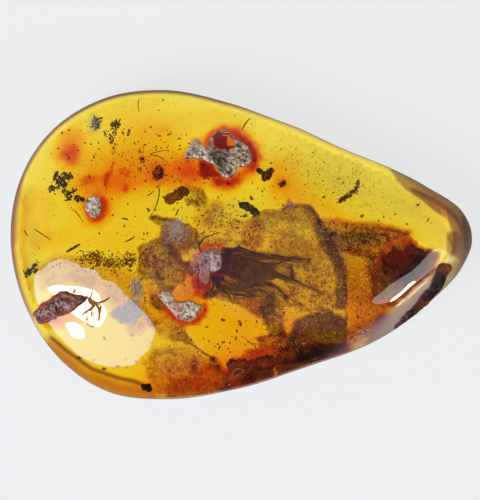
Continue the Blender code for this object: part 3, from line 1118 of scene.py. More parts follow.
def seen_route(route: tuple) -> tuple:
    """A route of seen places with heights, as points inside the drop."""
    return tuple(FORM.under(*place) for place in route)


def lying_route(route: tuple) -> tuple:
    """A route of seen places with how far each lies above the dome, as points."""
    return tuple(FORM.under(x, y, FORM.dome_z(x, y)) + UP * rise for x, y, rise in route)


@dataclass
class Myriapod:
    """The animal: head, body rings, antennae, and the long thin legs that show, swept back."""

    start: tuple = (-2.3, -1.7, 5.95)
    end: tuple = (2.9, -2.8, 5.75)
    rings: int = 12
    width: float = 2.2
    height: float = 1.15
    head: tuple = (-3.1, -1.45, 5.95)
    head_size: tuple = (1.5, 1.4, 1.1)
    ring_length: float = 1.24
    ring_lean: float = 0.2
    eye_at: tuple = (-0.35, 0.5, 0.22)
    eye_radius: float = 0.2
    leg_thick: float = 0.165
    faint: float = 0.6
    leg_tip: float = 0.022
    joint_swell: float = 0.18
    joints: int = 4
    legs: tuple = (
        (
            (-1.65, -0.53, 6.0), (-0.65, -0.53, 6.3), (0.35, -0.82, 6.3), (1.35, -0.93, 6.2),
            (3.05, -1.02, 6.0), (5.05, -1.32, 5.7), (6.95, -1.48, 5.35),
        ),
        ((-1.95, -1.12, 5.9), (-1.25, -0.72, 6.2), (-0.75, -0.42, 6.2), (-0.25, -0.12, 5.9)),
        ((-1.75, -1.52, 5.9), (-1.15, -1.23, 6.2), (-0.55, -1.02, 6.3), (0.55, -0.93, 6.0)),
        (
            (0.35, -1.12, 5.9), (1.75, -1.32, 6.2), (3.75, -1.43, 5.9), (4.45, -1.52, 5.6),
            (5.65, -1.82, 5.3),
        ),
        (
            (1.35, -1.73, 5.8), (2.35, -1.93, 6.1), (3.55, -1.93, 5.9), (4.35, -1.52, 5.6),
            (5.15, -1.32, 5.3),
        ),
        (
            (1.35, -2.92, 5.7), (2.35, -3.02, 6.0), (3.65, -3.12, 6.0), (4.55, -3.33, 5.8),
            (5.55, -3.62, 5.6), (6.45, -4.12, 5.4), (8.15, -4.72, 5.2),
        ),
        (
            (-1.95, -3.33, 5.7), (-0.85, -4.12, 6.0), (0.55, -4.12, 6.1), (1.95, -3.92, 6.0),
            (3.25, -4.03, 5.8), (4.35, -5.12, 5.5), (5.85, -5.92, 5.3),
        ),
        (
            (-2.35, -3.42, 5.7), (-2.05, -4.12, 6.0), (-1.05, -4.42, 6.0), (0.55, -4.33, 5.9),
            (2.05, -4.62, 5.6), (3.35, -5.42, 5.3),
        ),
        ((-2.75, -3.23, 5.7), (-2.85, -4.22, 6.1), (-3.45, -5.03, 5.5)),
        (
            (-2.55, -3.23, 5.7), (-2.35, -4.33, 6.2), (-0.95, -4.92, 5.9), (0.85, -5.12, 5.5),
            (2.25, -5.22, 5.3),
        ),
        ((-0.15, -3.42, 5.7), (1.05, -4.03, 6.1), (2.45, -3.92, 5.9), (3.45, -4.12, 5.4)),
        (
            (0.35, -3.42, 5.7), (1.65, -4.03, 6.1), (3.05, -4.03, 5.9), (4.05, -4.72, 5.6),
            (4.65, -5.33, 5.3),
        ),
        ((-2.65, -3.62, 5.7), (-1.95, -4.33, 6.1), (-0.35, -4.62, 5.8), (1.45, -4.53, 5.3)),
        ((0.85, -1.12, 5.8), (2.05, -1.12, 6.1), (3.25, -1.32, 5.8), (4.85, -1.62, 5.3)),
        (
            (-1.55, -1.23, 5.9), (-0.95, -0.72, 6.2), (-0.35, -0.28, 6.2), (0.55, -0.53, 6.1),
            (1.45, -0.82, 5.9), (2.85, -0.97, 5.6),
        ),
    )
    faint_legs: tuple = (
        ((2.15, -2.42, 5.6), (3.05, -2.73, 5.7), (4.05, -3.12, 5.5), (5.05, -3.42, 5.3)),
        ((2.05, -2.83, 5.6), (3.05, -3.12, 5.7), (4.05, -3.42, 5.5), (4.85, -3.62, 5.3)),
        ((2.25, -2.12, 5.6), (3.05, -2.52, 5.6), (3.85, -2.92, 5.4), (4.65, -3.23, 5.2)),
    )
    antennae: tuple = (
        ((-3.55, -1.12, 6.0), (-4.25, -0.23, 6.3), (-3.65, 0.68, 6.0), (-2.05, 1.27, 5.5)),
        ((-3.55, -1.82, 6.0), (-4.35, -2.83, 6.2), (-4.25, -3.92, 5.4)),
    )

    def build(self) -> bpy.types.Object:
        """Models the animal and dresses it."""
        bm = bmesh.new()
        start, end = Vector(self.start), Vector(self.end)
        heading = math.atan2(end.y - start.y, end.x - start.x)
        turn = Matrix.Rotation(heading, 4, "Z")
        for number in range(self.rings):
            along = number / (self.rings - 1)
            swell = self.swell(along)
            length = self.ring_length / 2 * (1.1 - 0.2 * along)
            size = (length, self.width / 2 * swell, self.height / 2 * swell)
            middle = start.lerp(end, along)
            matrix = Matrix.Translation(middle) @ turn @ Matrix.Rotation(self.ring_lean, 4, "Y")
            matrix = matrix @ Matrix.Diagonal((*size, 1))
            ring = bmesh.ops.create_uvsphere(bm, u_segments=32, v_segments=20, radius=1, matrix=matrix)
            self.ridge(ring["verts"], middle)
        halves = (*(side / 2 for side in self.head_size), 1)
        head = Matrix.Translation(self.head) @ turn @ Matrix.Diagonal(halves)
        bmesh.ops.create_uvsphere(bm, u_segments=32, v_segments=24, radius=1, matrix=head)
        for side in (-1, 1):
            ahead, beside, above = self.eye_at
            eye = Matrix.Translation(Vector(self.head) + turn @ Vector((ahead, beside * side, above)))
            bmesh.ops.create_uvsphere(bm, u_segments=16, v_segments=12, radius=self.eye_radius, matrix=eye)
        for route in self.legs:
            self.add_leg(bm, seen_route(route), self.leg_thick)
        for route in self.faint_legs + self.antennae:
            self.add_leg(bm, seen_route(route), self.leg_thick * self.faint)
        piece = finished(bm, "myriapod_body", Chitin().make("chitin"))
        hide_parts("myriapod")
        return piece

    def swell(self, along: float) -> float:
        """How full the trunk is from its front to its tail, as a share of its width."""
        full = 0.68 + 0.32 * math.sin(math.pi * (0.12 + 0.76 * along))
        return full * (1.08 - 0.5 * max(0.0, (along - 0.6) / 0.4) ** 1.5)

    def ridge(self, verts: list, middle: Vector) -> None:
        """Gives a ring's back a low keel and fine wrinkles."""
        for vert in verts:
            away = vert.co - middle
            vert.co += away * (0.05 * math.sin(away.y * 9) + 0.06 * noise.noise(vert.co * 4))

    def add_leg(self, bm: bmesh.types.BMesh, route: tuple, thick: float) -> None:
        """Adds a leg that tapers along its route and swells at its joints."""
        points = smooth_route(route, 6)
        last = len(points) - 1
        radii = []
        for index in range(len(points)):
            along = index / last
            swell = self.joint_swell * math.cos(along * TAU * self.joints)
            radii.append(thick * (1 - along) ** 0.8 * (1 + swell) + self.leg_tip)
        add_limb(bm, points, radii)


SKIN_WASHES = (
    Wash(Tone.OLIVE, Patch(tenths(
        147, 77, 154, 64, 162, 56, 171, 49, 179, 44, 187, 37, 195, 31, 204, 25, 209, 15, 210, -11,
        222, -17, 238, 5, 218, 55, 178, 85,
    ), 1.35, 0.3)),
    Wash(Tone.RUST, spot(206, 23, 2.0, 3.0, 0.25)),
    Wash(Tone.RUST, Patch(tenths(172, 51, 191, 43, 202, 37, 204, 29, 194, 31, 182, 42), 0.35, 0.3)),
    Wash(Tone.BROWN, Streak(tenths(
        170, 55, 182, 49, 191, 45, 199, 40, 207, 33, 213, 27, 218, 19, 221, 9, 223, -2,
    ), 0.22, 1.3)),
    Wash(Tone.OLIVE, spot(208, 21, 0.7, 0.7, -0.25)),
    Wash(Tone.RUST, spot(182, 43, 1.6, 2.0, 0.16, -35)),
    Wash(Tone.BROWN, Streak(tenths(-222, 55, -226, 33, -227, 5), 0.4, 0.45)),
    Wash(Tone.BROWN, Patch(tenths(203, 12, 213, 14, 219, 7, 220, -5, 210, -11, 203, -7), 0.7, 0.3)),
    Wash(Tone.OLIVE, Streak(tenths(205, 9, 210, -3, 208, -13), 0.12, 0.8)),
    Wash(Tone.GOLD, Streak(tenths(220, 1, 214, -5, 206, -15), 0.1, -1.2)),
    Wash(Tone.GOLD, Streak(tenths(
        -192, -100, -176, -114, -157, -130, -122, -143, -92, -148,
    ), 0.9, 2.6, 2.0)),
    Wash(Tone.RUST, Streak(tenths(
        -192, -103, -176, -116, -157, -132, -122, -146, -92, -152,
    ), 0.6, 0.5, 2.0)),
    Wash(Tone.RUST, Streak(tenths(-222, 65, -228, 35, -229, -5, -222, -45, -212, -71), 0.4, 0.6)),
    Wash(Tone.BROWN, Streak(tenths(
        -190, -92, -174, -105, -149, -123, -122, -132, -107, -135, -92, -141,
    ), 0.2, 1.5)),
    Wash(Tone.GOLD, spot(-52, -143, 3.6, 0.8, 1.6, -2)),
    Wash(Tone.MAROON, Streak(tenths(
        -16, -144, 8, -137, 38, -126, 68, -116, 90, -108, 104, -103,
    ), 0.7, 0.9, 2.0)),
    Wash(Tone.RUST, Streak(tenths(-82, -152, -52, -152, -27, -150, -10, -148), 0.7, 0.6)),
    Wash(Tone.BROWN, Patch(tenths(
        132, -77, 150, -55, 176, -37, 198, -21, 208, -17, 204, -35, 178, -63, 152, -85, 124, -101,
    ), 0.9, 0.6)),
)
# Where the painted rim shade lies, each mark with the share of the way out where it starts.
PAINTED_RIM_SHADE = (
    (spot(-182, 125, 10.0, 7.0, 0.6, 40), 0.968), (spot(-42, 153, 12.0, 2.4, 0.6), 0.955),
    (spot(-230, 15, 2.2, 8.0, 0.5), 0.975), (spot(198, 50, 4.6, 2.6, 0.6, -32), 0.94),
    (spot(220, -10, 3.0, 3.0, 0.8, 50), 0.94),
)
# A faint veil of painted sheen over the middle and lower left: a painted reflection of the soft light.
PAINTED_SHEEN_VEIL = (
    Patch(tenths(
        20, 29, 58, 49, 76, 39, 100, 13, 106, -55, 102, -85, 58, -85, -2, -71, -42, -45, -46, 9, -28, 39,
        -2, 41,
    ), 0.022, 1.2),
    Patch(tenths(-96, -1, -62, 13, -42, -5, -42, -45, -66, -55, -92, -45), 0.03, 1.0),
    Patch(tenths(-96, -85, -62, -71, -36, -105, -42, -127, -82, -131), 0.012, 1.0),
)
# Where the painted rim sheen, a painted reflection, lies, each mark with the share where it starts.
PAINTED_RIM_SHEEN = (
    (spot(88, -125, 13.0, 3.4, 0.55, 20), 0.98), (spot(163, -63, 4.8, 2.4, 1.2, 38), 0.87),
    (spot(88, 117, 9.0, 2.4, 0.3, -22), 0.95), (spot(-218, -65, 2.0, 4.0, 0.3, 20), 0.98),
)


@dataclass
class DropSkin:
    """The drop's skin as points on a ball that is pulled to the drop's form."""

    detail: int = 7
    waviness: float = 0.02
    wave_size: float = 3.5

    def ball(self) -> bmesh.types.BMesh:
        """The skin, closed, in millimetres."""
        bm = bmesh.new()
        bmesh.ops.create_icosphere(bm, subdivisions=self.detail, radius=1)
        for vert in bm.verts:
            rise = math.asin(max(-1.0, min(1.0, vert.co.z))) / (math.pi / 2)
            angle = math.atan2(vert.co.y, vert.co.x)
            vert.co = FORM.skin(angle - FORM.tip_crowding * math.sin(angle), rise)
        bm.normal_update()
        for vert in bm.verts:
            if vert.co.z > FORM.girdle_z:
                vert.co += vert.normal * self.waviness * turbulence(vert.co, self.wave_size, 2)
        return bm


@dataclass
class AmberDrop:
    """The clear drop, one piece in place of its two parted halves."""

    skin: DropSkin = field(default_factory=DropSkin)
    stained_from: float = 0.8
    # Painted rim shade: from these shares out, where its marks say, the tint darkens toward the rim.
    rim_shade_from: float = 0.975
    rim_shade_full: float = 0.992
    rim_shade_takes: tuple = (1.3, 2.3, 1.8)
    rim_shade_marks: tuple = (
        spot(-182, 125, 10.0, 7.0, 1.0, 40), spot(-52, 150, 12.0, 2.4, 1.0), spot(-230, 15, 2.2, 9.0, 1.0),
        spot(88, 115, 7.0, 1.6, 0.35, -22),
    )
    washes: tuple = SKIN_WASHES
    finish: ClearAmber = field(default_factory=ClearAmber)

    def build(self) -> bpy.types.Object:
        """Models the drop's skin and dresses it."""
        bm = self.skin.ball()
        tint = bm.verts.layers.float_color.new("tint")
        for vert in bm.verts:
            takes = [0.0, 0.0, 0.0]
            x, y, z = vert.co
            share = FORM.share(x, y)
            if share > self.stained_from and z > FORM.girdle_z / 2:
                # Painted shade, darkening the tint toward the rim, before the skin's washes are added.
                edge = max(0.0, min(1.0, (share - self.rim_shade_from) / (self.rim_shade_full - self.rim_shade_from)))
                edge *= min(1.0, total(self.rim_shade_marks, x, y))
                takes = [edge * take for take in self.rim_shade_takes]
                for wash in self.washes:
                    strength = wash.mark.level(x, y)
                    takes = [take + strength * more for take, more in zip(takes, wash.tone.value)]
            vert[tint] = (*(math.exp(-max(0.0, take)) for take in takes), 1.0)
        drop = finished(bm, "amber_drop", self.finish.make())
        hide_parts("amber_upper", "amber_lower")
        return drop


@dataclass
class PaintedRimSkin:
    """Painted rim shade and painted sheen, as a dull skin along the rim laid just over the drop."""

    skin: DropSkin = field(default_factory=DropSkin)
    # The brown marks are painted rim shade; the lilac marks and the veil are painted sheen, reflected
    # light.
    brown: tuple = PAINTED_RIM_SHADE
    painted_sheen: tuple = PAINTED_RIM_SHEEN
    sheen_veil: tuple = PAINTED_SHEEN_VEIL
    lowest: float = 0.35
    quickness: float = 2.5
    most: float = 0.9
    least: float = 0.002
    thick: float = 0.012
    sunk: float = 0.6
    finish: PaintedRimFinish = field(default_factory=PaintedRimFinish)

    def build(self) -> bpy.types.Object:
        """Models the skin and dresses it."""
        bm = self.skin.ball()
        painted_rim = bm.verts.layers.float.new("painted_rim")
        painted_sheen = bm.verts.layers.float.new("painted_sheen")
        bm.normal_update()
        bare = []
        for vert in bm.verts:
            x, y, z = vert.co
            share = FORM.share(x, y)
            if z < FORM.girdle_z * self.lowest:
                bare.append(vert)
                continue
            amounts = []
            # The painted shade and the painted sheen, each faded in toward the rim.
            for marks in (self.brown, self.painted_sheen):
                amount = 0.0
                for mark, start in marks:
                    edge = max(0.0, min(1.0, (share - start) / (1.0 - start)))
                    amount += mark.level(x, y) * edge * min(1.0, self.quickness * edge)
                amounts.append(amount)
            # The veil of painted sheen adds to the painted sheen.
            amounts[1] += total(self.sheen_veil, x, y)
            vert[painted_rim] = min(self.most, sum(amounts))
            if vert[painted_rim] < self.least:
                bare.append(vert)
                continue
            vert[painted_sheen] = amounts[1] / sum(amounts)
        trim(bm, bare)
        bm.normal_update()
        ways = {vert: vert.normal.copy() for vert in bm.verts}
        for vert, way in ways.items():
            vert.co += way * self.thick
        below = doubled(bm)
        bm.normal_update()
        for vert in below:
            vert.co -= vert.normal * self.thick * self.sunk
        piece = finished(bm, "painted_rim_shade_and_sheen", self.finish.make("painted_rim_shade_and_sheen"))
        return piece


@dataclass
class Specks:
    """Many small grains of one finish, as one piece. Each cloud is a mark and its count of grains."""

    name: str
    slot: str
    finish: object
    clouds: tuple
    size: tuple = (0.05, 0.18)
    heights: tuple = (3.6, 6.0)
    flat: float = 0.6
    kinds: int = 8
    dots: tuple = ()
    dot_heights: tuple = (4.7, 5.2)
    dot_size: tuple = (2.0, 1.7, 1.1)
    dot_length: tuple = (0.9, 1.4)
    long: tuple = (0.8, 2.2)
    aim: tuple = (0.0, 360.0)
    jagged: tuple = (0.6, 1.15)
    spot_spread: float = 0.7
    streak_spread: float = 0.6
    fineness: float = 3.0
    tilt: float = 0.5
    most_share: float = 0.955
    cover: float = 0.5

    def build(self) -> bpy.types.Object:
        """Scatters the grains, adds the larger dots, and dresses them."""
        chance = random.Random(self.name)
        shapes = [self.grain(chance) for _ in range(self.kinds)]
        bm = bmesh.new()
        for mark, count in self.clouds:
            for _ in range(count):
                matrix = self.place(mark, chance)
                if matrix is not None:
                    self.add_grain(bm, chance.choice(shapes), matrix)
        for (x, y), radius in self.dots:
            shape = chance.choice(shapes)
            turn = Matrix.Rotation(chance.uniform(0, TAU), 4, "Z")
            length, width, height = self.dot_size
            length = length * radius * chance.uniform(*self.dot_length)
            stretch = Matrix.Diagonal((length, width * radius, height * radius, 1))
            middle = Matrix.Translation(FORM.under(x, y, chance.uniform(*self.dot_heights)))
            self.add_grain(bm, shape, middle @ turn @ stretch)
        piece = finished(bm, self.name, self.finish.make(self.name), smooth=False)
        return piece

    def add_grain(self, bm: bmesh.types.BMesh, grain: bpy.types.Mesh, matrix: Matrix) -> None:
        """Adds a copy of a grain, moved by a matrix."""
        shape = grain.copy()
        shape.transform(matrix)
        bm.from_mesh(shape)
        bpy.data.meshes.remove(shape)

    def grain(self, chance: random.Random) -> bpy.types.Mesh:
        """One rough grain a millimetre across."""
        bm = bmesh.new()
        bmesh.ops.create_icosphere(bm, subdivisions=1, radius=0.5)
        for vert in bm.verts:
            vert.co *= chance.uniform(*self.jagged)
        mesh = bpy.data.meshes.new("grain")
        bm.to_mesh(mesh)
        bm.free()
        return mesh

    def place(self, mark: object, chance: random.Random) -> Matrix | None:
        """Where one grain of a mark's cloud goes, or None when that is outside the drop."""
        if isinstance(mark, Spot):
            around = math.radians(mark.turn)
            along, beside = (chance.gauss(0, self.spot_spread) * side for side in mark.size)
            x = mark.at[0] + along * math.cos(around) - beside * math.sin(around)
            y = mark.at[1] + along * math.sin(around) + beside * math.cos(around)
        else:
            index = chance.randrange(len(mark.route) - 1)
            part = chance.random()
            (x0, y0), (x1, y1) = mark.route[index], mark.route[index + 1]
            x = x0 + (x1 - x0) * part + chance.gauss(0, self.streak_spread) * mark.width
            y = y0 + (y1 - y0) * part + chance.gauss(0, self.streak_spread) * mark.width
        if FORM.share(x, y) > self.most_share:
            return None
        z = min(chance.uniform(*self.heights), FORM.dome_z(x, y) - self.cover)
        low, high = self.size
        size = low + (high - low) * chance.random() ** self.fineness
        heading = math.radians(chance.gauss(*self.aim))
        tilt = Matrix.Rotation(chance.uniform(-self.tilt, self.tilt), 4, "X")
        turn = Matrix.Rotation(heading, 4, "Z") @ tilt
        stretch = Matrix.Diagonal((size * chance.uniform(*self.long), size, size * self.flat, 1))
        return Matrix.Translation(FORM.under(x, y, z)) @ turn @ stretch


@dataclass
class Threads:
    """Fine hairs, curls and rootlets of one finish, as one piece. A route is a thickness and places."""

    name: str
    slot: str
    finish: object
    routes: tuple
    sides: int = 5
    lying: bool = False
    end: float = 0.35

    def build(self) -> bpy.types.Object:
        """Models each thread along its route, tapered to its ends, and dresses them."""
        bm = bmesh.new()
        for thick, *places in self.routes:
            points = smooth_route((lying_route if self.lying else seen_route)(tuple(places)), 5)
            last = len(points) - 1
            fullness = (math.sin(math.pi * (0.1 + 0.8 * index / last)) for index in range(last + 1))
            radii = [thick / 2 * (self.end + 0.65 * full) for full in fullness]
            add_limb(bm, points, radii, self.sides)
        piece = finished(bm, self.name, self.finish.make(self.name))
        return piece


def stage_piece(bm: bmesh.types.BMesh, name: str, sockets: dict) -> bpy.types.Object:
    """A shape in metres made into a piece of the stage.

    Args:
        bm: The shape, which is freed.
        name: The piece's name.
        sockets: What its shader's inputs hold.

    Returns:
        The piece.
    """
    mesh = bpy.data.meshes.new(name)
    bm.to_mesh(mesh)
    bm.free()
    mesh.materials.append(Shading(name).finish(sockets))
    piece = bpy.data.objects.new(name, mesh)
    bpy.context.scene.collection.objects.link(piece)
    return piece


@dataclass
class Softbox:
    """A soft lamp that faces the drop: its glow is the brightness of its rounded face.

    Its corners, and how far they are rounded, are as they would be on a face 500 mm away.
    """

    name: str
    azimuth: float
    elevation: float
    corners: tuple
    glow: float
    distance: float = 1500.0
    tint: tuple = (1.0, 1.0, 1.0)
    drawn_at: float = 500.0
    rounding: float = 40

    def build(self) -> None:
        """Models the lamp's face, makes it glow and places it."""
        scale = self.distance / self.drawn_at
        bm = bmesh.new()
        verts = [bm.verts.new((x * scale, y * scale, 0)) for x, y in self.corners]
        bmesh.ops.contextual_create(bm, geom=verts)
        bmesh.ops.bevel(
            bm, geom=bm.verts[:], offset=self.rounding * scale, offset_type="OFFSET", affect="VERTICES",
            segments=5, profile=0.5, material=-1, clamp_overlap=True,
        )
        around, up = math.radians(self.azimuth), math.radians(self.elevation)
        way = Vector((math.cos(around) * math.cos(up), math.sin(around) * math.cos(up), math.sin(up)))
        turn = way.to_track_quat("Z", "Y").to_matrix().to_4x4()
        bmesh.ops.transform(bm, matrix=Matrix.Translation(way * self.distance) @ turn, verts=bm.verts)
        bmesh.ops.scale(bm, vec=(MM, MM, MM), verts=bm.verts)
        sockets = {"Base Color": (0, 0, 0, 1), "Specular IOR Level": 0.0}
        sockets |= {"Emission Color": (*self.tint, 1), "Emission Strength": self.glow}
        stage_piece(bm, self.name, sockets)


@dataclass
class Studio:
    """Pale floor, soft light all round, softboxes and the camera above the drop."""

    floor_size: float = 8000.0
    floor_drop: float = 0.05
    floor_shade: float = 0.07
    floor_glow: float = 0.76
    pad_glow: float = 1.08
    pad_share: float = 0.88
    sky_bands: tuple = (
        (0.0, (0.40, 0.36, 0.34)),
        (0.22, (0.50, 0.49, 0.48)),
        (0.6, (0.42, 0.42, 0.42)),
        (0.85, (0.12, 0.12, 0.12)),
    )
    sky_dim: tuple = (-0.85, 0.0, 0.2, 1.0)
    view_height: float = 50.0
    sensor: float = 36.0
    bounces: int = 64
    softboxes: tuple = (
        Softbox("softbox_left", 222.8, 42.9, (
            (-275, -138), (-211, 69), (-137, 172), (-60, 258), (5, 251), (130, 207), (206, 111), (226, -5),
            (171, -105), (76, -244), (-57, -314), (-249, -385), (-277, -200),
        ), 6.5, tint=(0.48, 0.72, 1.1)),
        Softbox("lamp_left", 209.4, 50.5, (
            (-85, -183), (-73, -82), (-42, 29), (-17, 80), (8, 90), (33, 83), (59, 54), (81, 12), (70, -4),
            (40, -40),
        ), 25.0, 1400.0),
        Softbox("lamp_left_low", 218.1, 34.6, (
            (-42, -46), (-26, 47), (13, 66), (42, 5), (12, -72),
        ), 25.0, 1400.0),
        Softbox("softbox_right", 323, 35, ((-95, -55), (150, -55), (150, 80), (-95, 80)), 3.8),
        Softbox("softbox_right_low", 321, 16, ((-80, -75), (140, -75), (140, 70), (-80, 70)), 4.0),
        Softbox("lamp_right", 314, 31, ((-22, -16), (22, -16), (22, 16), (-22, 16)), 30.0, 1400.0),
        Softbox("lamp_right_low", 314, 19, ((-30, -7), (30, -7), (30, 7), (-30, 7)), 30.0, 1400.0),
    )

    def build(self) -> None:
        """Builds the floor, the light and the camera."""
        self.build_floor()
        self.build_pad()
        self.build_sky()
        self.build_camera()
        for softbox in self.softboxes:
            softbox.build()
        scene = bpy.context.scene
        scene.view_settings.view_transform = "Standard"
        scene.cycles.max_bounces = self.bounces
        scene.cycles.transmission_bounces = self.bounces
        scene.cycles.transparent_max_bounces = self.bounces
        scene.cycles.diffuse_bounces = 6
        scene.cycles.glossy_bounces = 12
        scene.cycles.blur_glossy = 0.0
        scene.cycles.caustics_reflective = True
        scene.cycles.caustics_refractive = True
        scene.cycles.sample_clamp_indirect = 8.0
        scene.cycles.use_denoising = True

    def build_floor(self) -> None:
        """A large plain pale floor, just under the base, that glows and is left out of reflections."""
        bm = bmesh.new()
        bmesh.ops.create_grid(bm, x_segments=1, y_segments=1, size=self.floor_size / 2 * MM)
        bmesh.ops.translate(bm, vec=(0, 0, -self.floor_drop * MM), verts=bm.verts)
        shade = (self.floor_shade, self.floor_shade, self.floor_shade, 1)
        sockets = {"Base Color": shade, "Roughness": 1.0, "Specular IOR Level": 0.0}
        sockets |= {"Emission Color": (1, 1, 1, 1), "Emission Strength": self.floor_glow}
        floor = stage_piece(bm, "floor", sockets)
        floor.visible_glossy = False

    def build_pad(self) -> None:
        """A glowing pad between the floor and the base, hidden by the drop, that lights it from below."""
        bm = bmesh.new()
        bmesh.ops.create_circle(bm, segments=96, radius=1, cap_ends=True)
        for vert in bm.verts:
            angle = math.atan2(vert.co.y, vert.co.x)
            reach = FORM.radius(angle) * self.pad_share
            x, y = FORM.centre[0] + reach * math.cos(angle), FORM.centre[1] + reach * math.sin(angle)
            vert.co = Vector((x, y, -self.floor_drop / 2)) * MM
        sockets = {"Base Color": (0.0, 0.0, 0.0, 1), "Roughness": 1.0, "Specular IOR Level": 0.0}
        sockets |= {"Emission Color": (1, 1, 1, 1), "Emission Strength": self.pad_glow}
        stage_piece(bm, "light_pad", sockets)

    def build_sky(self) -> None:
        """Soft light from all round, dim near the horizon and straight above."""
        world = bpy.data.worlds.new("studio")
        bpy.context.scene.world = world
        world.use_nodes = True
        tree = world.node_tree
        tree.nodes.clear()
        output = tree.nodes.new("ShaderNodeOutputWorld")
        glow = tree.nodes.new("ShaderNodeBackground")
        where = tree.nodes.new("ShaderNodeTexCoord")
        split = tree.nodes.new("ShaderNodeSeparateXYZ")
        ramp = tree.nodes.new("ShaderNodeValToRGB")
        elements = ramp.color_ramp.elements
        while len(elements) < len(self.sky_bands):
            elements.new(0.5)
        for element, (height, shade) in zip(elements, self.sky_bands):
            element.position = height
            element.color = (*shade, 1)
        tree.links.new(where.outputs["Generated"], split.inputs[0])
        tree.links.new(split.outputs["Z"], ramp.inputs[0])
        dim = tree.nodes.new("ShaderNodeMapRange")
        for socket, value in zip(("From Min", "From Max", "To Min", "To Max"), self.sky_dim):
            dim.inputs[socket].default_value = value
        shade = tree.nodes.new("ShaderNodeVectorMath")
        shade.operation = "SCALE"
        tree.links.new(split.outputs["Y"], dim.inputs["Value"])
        tree.links.new(ramp.outputs[0], shade.inputs[0])
        tree.links.new(dim.outputs[0], shade.inputs["Scale"])
        tree.links.new(shade.outputs[0], glow.inputs["Color"])
        tree.links.new(glow.outputs[0], output.inputs["Surface"])

    def build_camera(self) -> None:
        """A long lens that looks straight down."""
        camera = bpy.data.cameras.new("camera")
        camera.sensor_width = self.sensor
        camera.lens = camera.sensor_width * (FORM.eye[2] - FORM.girdle_z) / self.view_height
        camera.clip_start = 0.01
        camera.clip_end = 20.0
        stand = bpy.data.objects.new("camera", camera)
        stand.location = tuple(side * MM for side in FORM.eye)
        bpy.context.scene.collection.objects.link(stand)
        bpy.context.scene.camera = stand


def ring(x: float, y: float, radius: float, points: int = 12) -> tuple:
    """Places around a circle."""
    angles = [TAU * step / points for step in range(points)]
    return tuple((x + radius * math.cos(angle), y + radius * math.sin(angle)) for angle in angles)


AROUND_BUBBLE = ring(-6.35, -3.12, 0.62)
RUST = Crusted(
    pale=(0.37, 0.25, 0.19), mid=(0.115, 0.03, 0.018), dark=(0.012, 0.003, 0.002),
    stained=(0.3, 0.04, 0.016), stops=(0.42, 0.56, 0.72),
)
SLIT_RUST = Crusted(
    pale=(0.15, 0.045, 0.025), mid=(0.012, 0.004, 0.003), dark=(0.003, 0.001, 0.001),
    stained=(0.26, 0.045, 0.012), stops=(0.46, 0.6, 0.76),
)
BARK = Dusty(dark=(0.030, 0.012, 0.008), pale=(0.22, 0.085, 0.045), grain=0.35)
CHAR = Dusty(dark=(0.10, 0.014, 0.008), pale=(0.60, 0.080, 0.030), grain=1.1)
TWIG = Dusty(dark=(0.30, 0.11, 0.036), pale=(0.74, 0.36, 0.13), grain=0.16, clear=0.5)
PLANT = Dusty(dark=(0.070, 0.042, 0.018), pale=(0.52, 0.34, 0.15), grain=0.14, clear=0.15)

TOP_OUTLINE = (
    (-5.69, 8.74), (-5.2, 9.66), (-4.9, 10.31), (-4.55, 10.51), (-4.15, 10.36), (-3.82, 9.96),
    (-3.52, 9.66), (-3.25, 9.62), (-3.3, 10.07), (-3.18, 10.54), (-2.84, 10.88), (-2.38, 11.22),
    (-1.75, 11.38), (-1.35, 11.32), (-1.0, 10.99), (-0.65, 10.59), (-0.25, 10.32), (0.05, 10.12),
    (0.51, 9.76), (0.8, 9.38), (1.05, 8.88), (1.09, 8.38), (0.8, 7.93), (0.39, 7.72), (-0.07, 7.73),
    (-0.35, 7.53), (-0.53, 7.02), (-0.93, 6.67), (-1.45, 6.53), (-1.91, 6.67), (-2.2, 7.08), (-2.38, 7.47),
    (-2.72, 7.83), (-3.25, 8.12), (-3.76, 8.43), (-4.17, 8.49), (-4.95, 8.53), (-5.45, 8.47),
)
LEFT_OUTLINE = tenths(
    -153, 45, -150, 47, -145, 48.5, -141, 47, -138.5, 44, -138, 39, -138, 35, -139.5, 30.5, -142, 27,
    -146, 26.5, -150, 28.1, -152.5, 30.5, -154.5, 34, -155, 39, -154.5, 43,
)
CENTRE_OUTLINE = tenths(
    -41.5, -11, -39, -7, -32, -3.5, -26, -2.5, -21, -5, -19.5, -11, -19.5, -18, -21, -23.5, -26, -26.4,
    -31, -27, -32.5, -31, -32, -36, -35, -38, -40, -36.5, -42.5, -32, -42, -25, -43, -18,
)
LOWER_OUTLINE = tenths(
    -85, -48.5, -82, -46, -79, -44.5, -74, -45, -70, -46.5, -67, -50.5, -66.5, -54, -63, -55.5, -58, -55,
    -53, -54, -48, -55.5, -43, -58, -39, -59.5, -40.5, -64, -42, -69, -46, -73.5, -51, -76, -57, -75.5,
    -63, -73, -68, -69, -71, -64.5, -74.5, -60.5, -78, -56.5, -82, -52.5,
)
LOG_OUTLINE = tenths(
    -207.5, -68, -205, -64.5, -200, -58.5, -194, -56, -190, -53, -185, -48.5, -180, -45.5, -175, -46,
    -170, -47, -166, -47.4, -161, -49.5, -156, -50, -153, -53, -155.5, -56.5, -159, -59, -162.5, -62,
    -166, -65, -171, -68.5, -177, -70, -182.5, -71.5, -186, -74.5, -192, -76, -197, -77.5, -201.5, -78.5,
    -204.5, -75,
)
SLIT_OUTLINE = tenths(
    196.5, -20, 202, -18, 208, -19.5, 209, -23, 207, -26.4, 203.5, -31, 202.5, -36, 200, -42, 196, -47,
    191, -52, 187, -57, 181, -63, 174, -69, 167, -74, 160, -78.5, 154, -83.6, 149.5, -86, 151, -81.5,
    156, -76, 160, -70, 166, -64, 172, -58, 176, -52.5, 181, -47, 186, -42.5, 188.5, -36, 191.5, -29,
    194.5, -23,
)
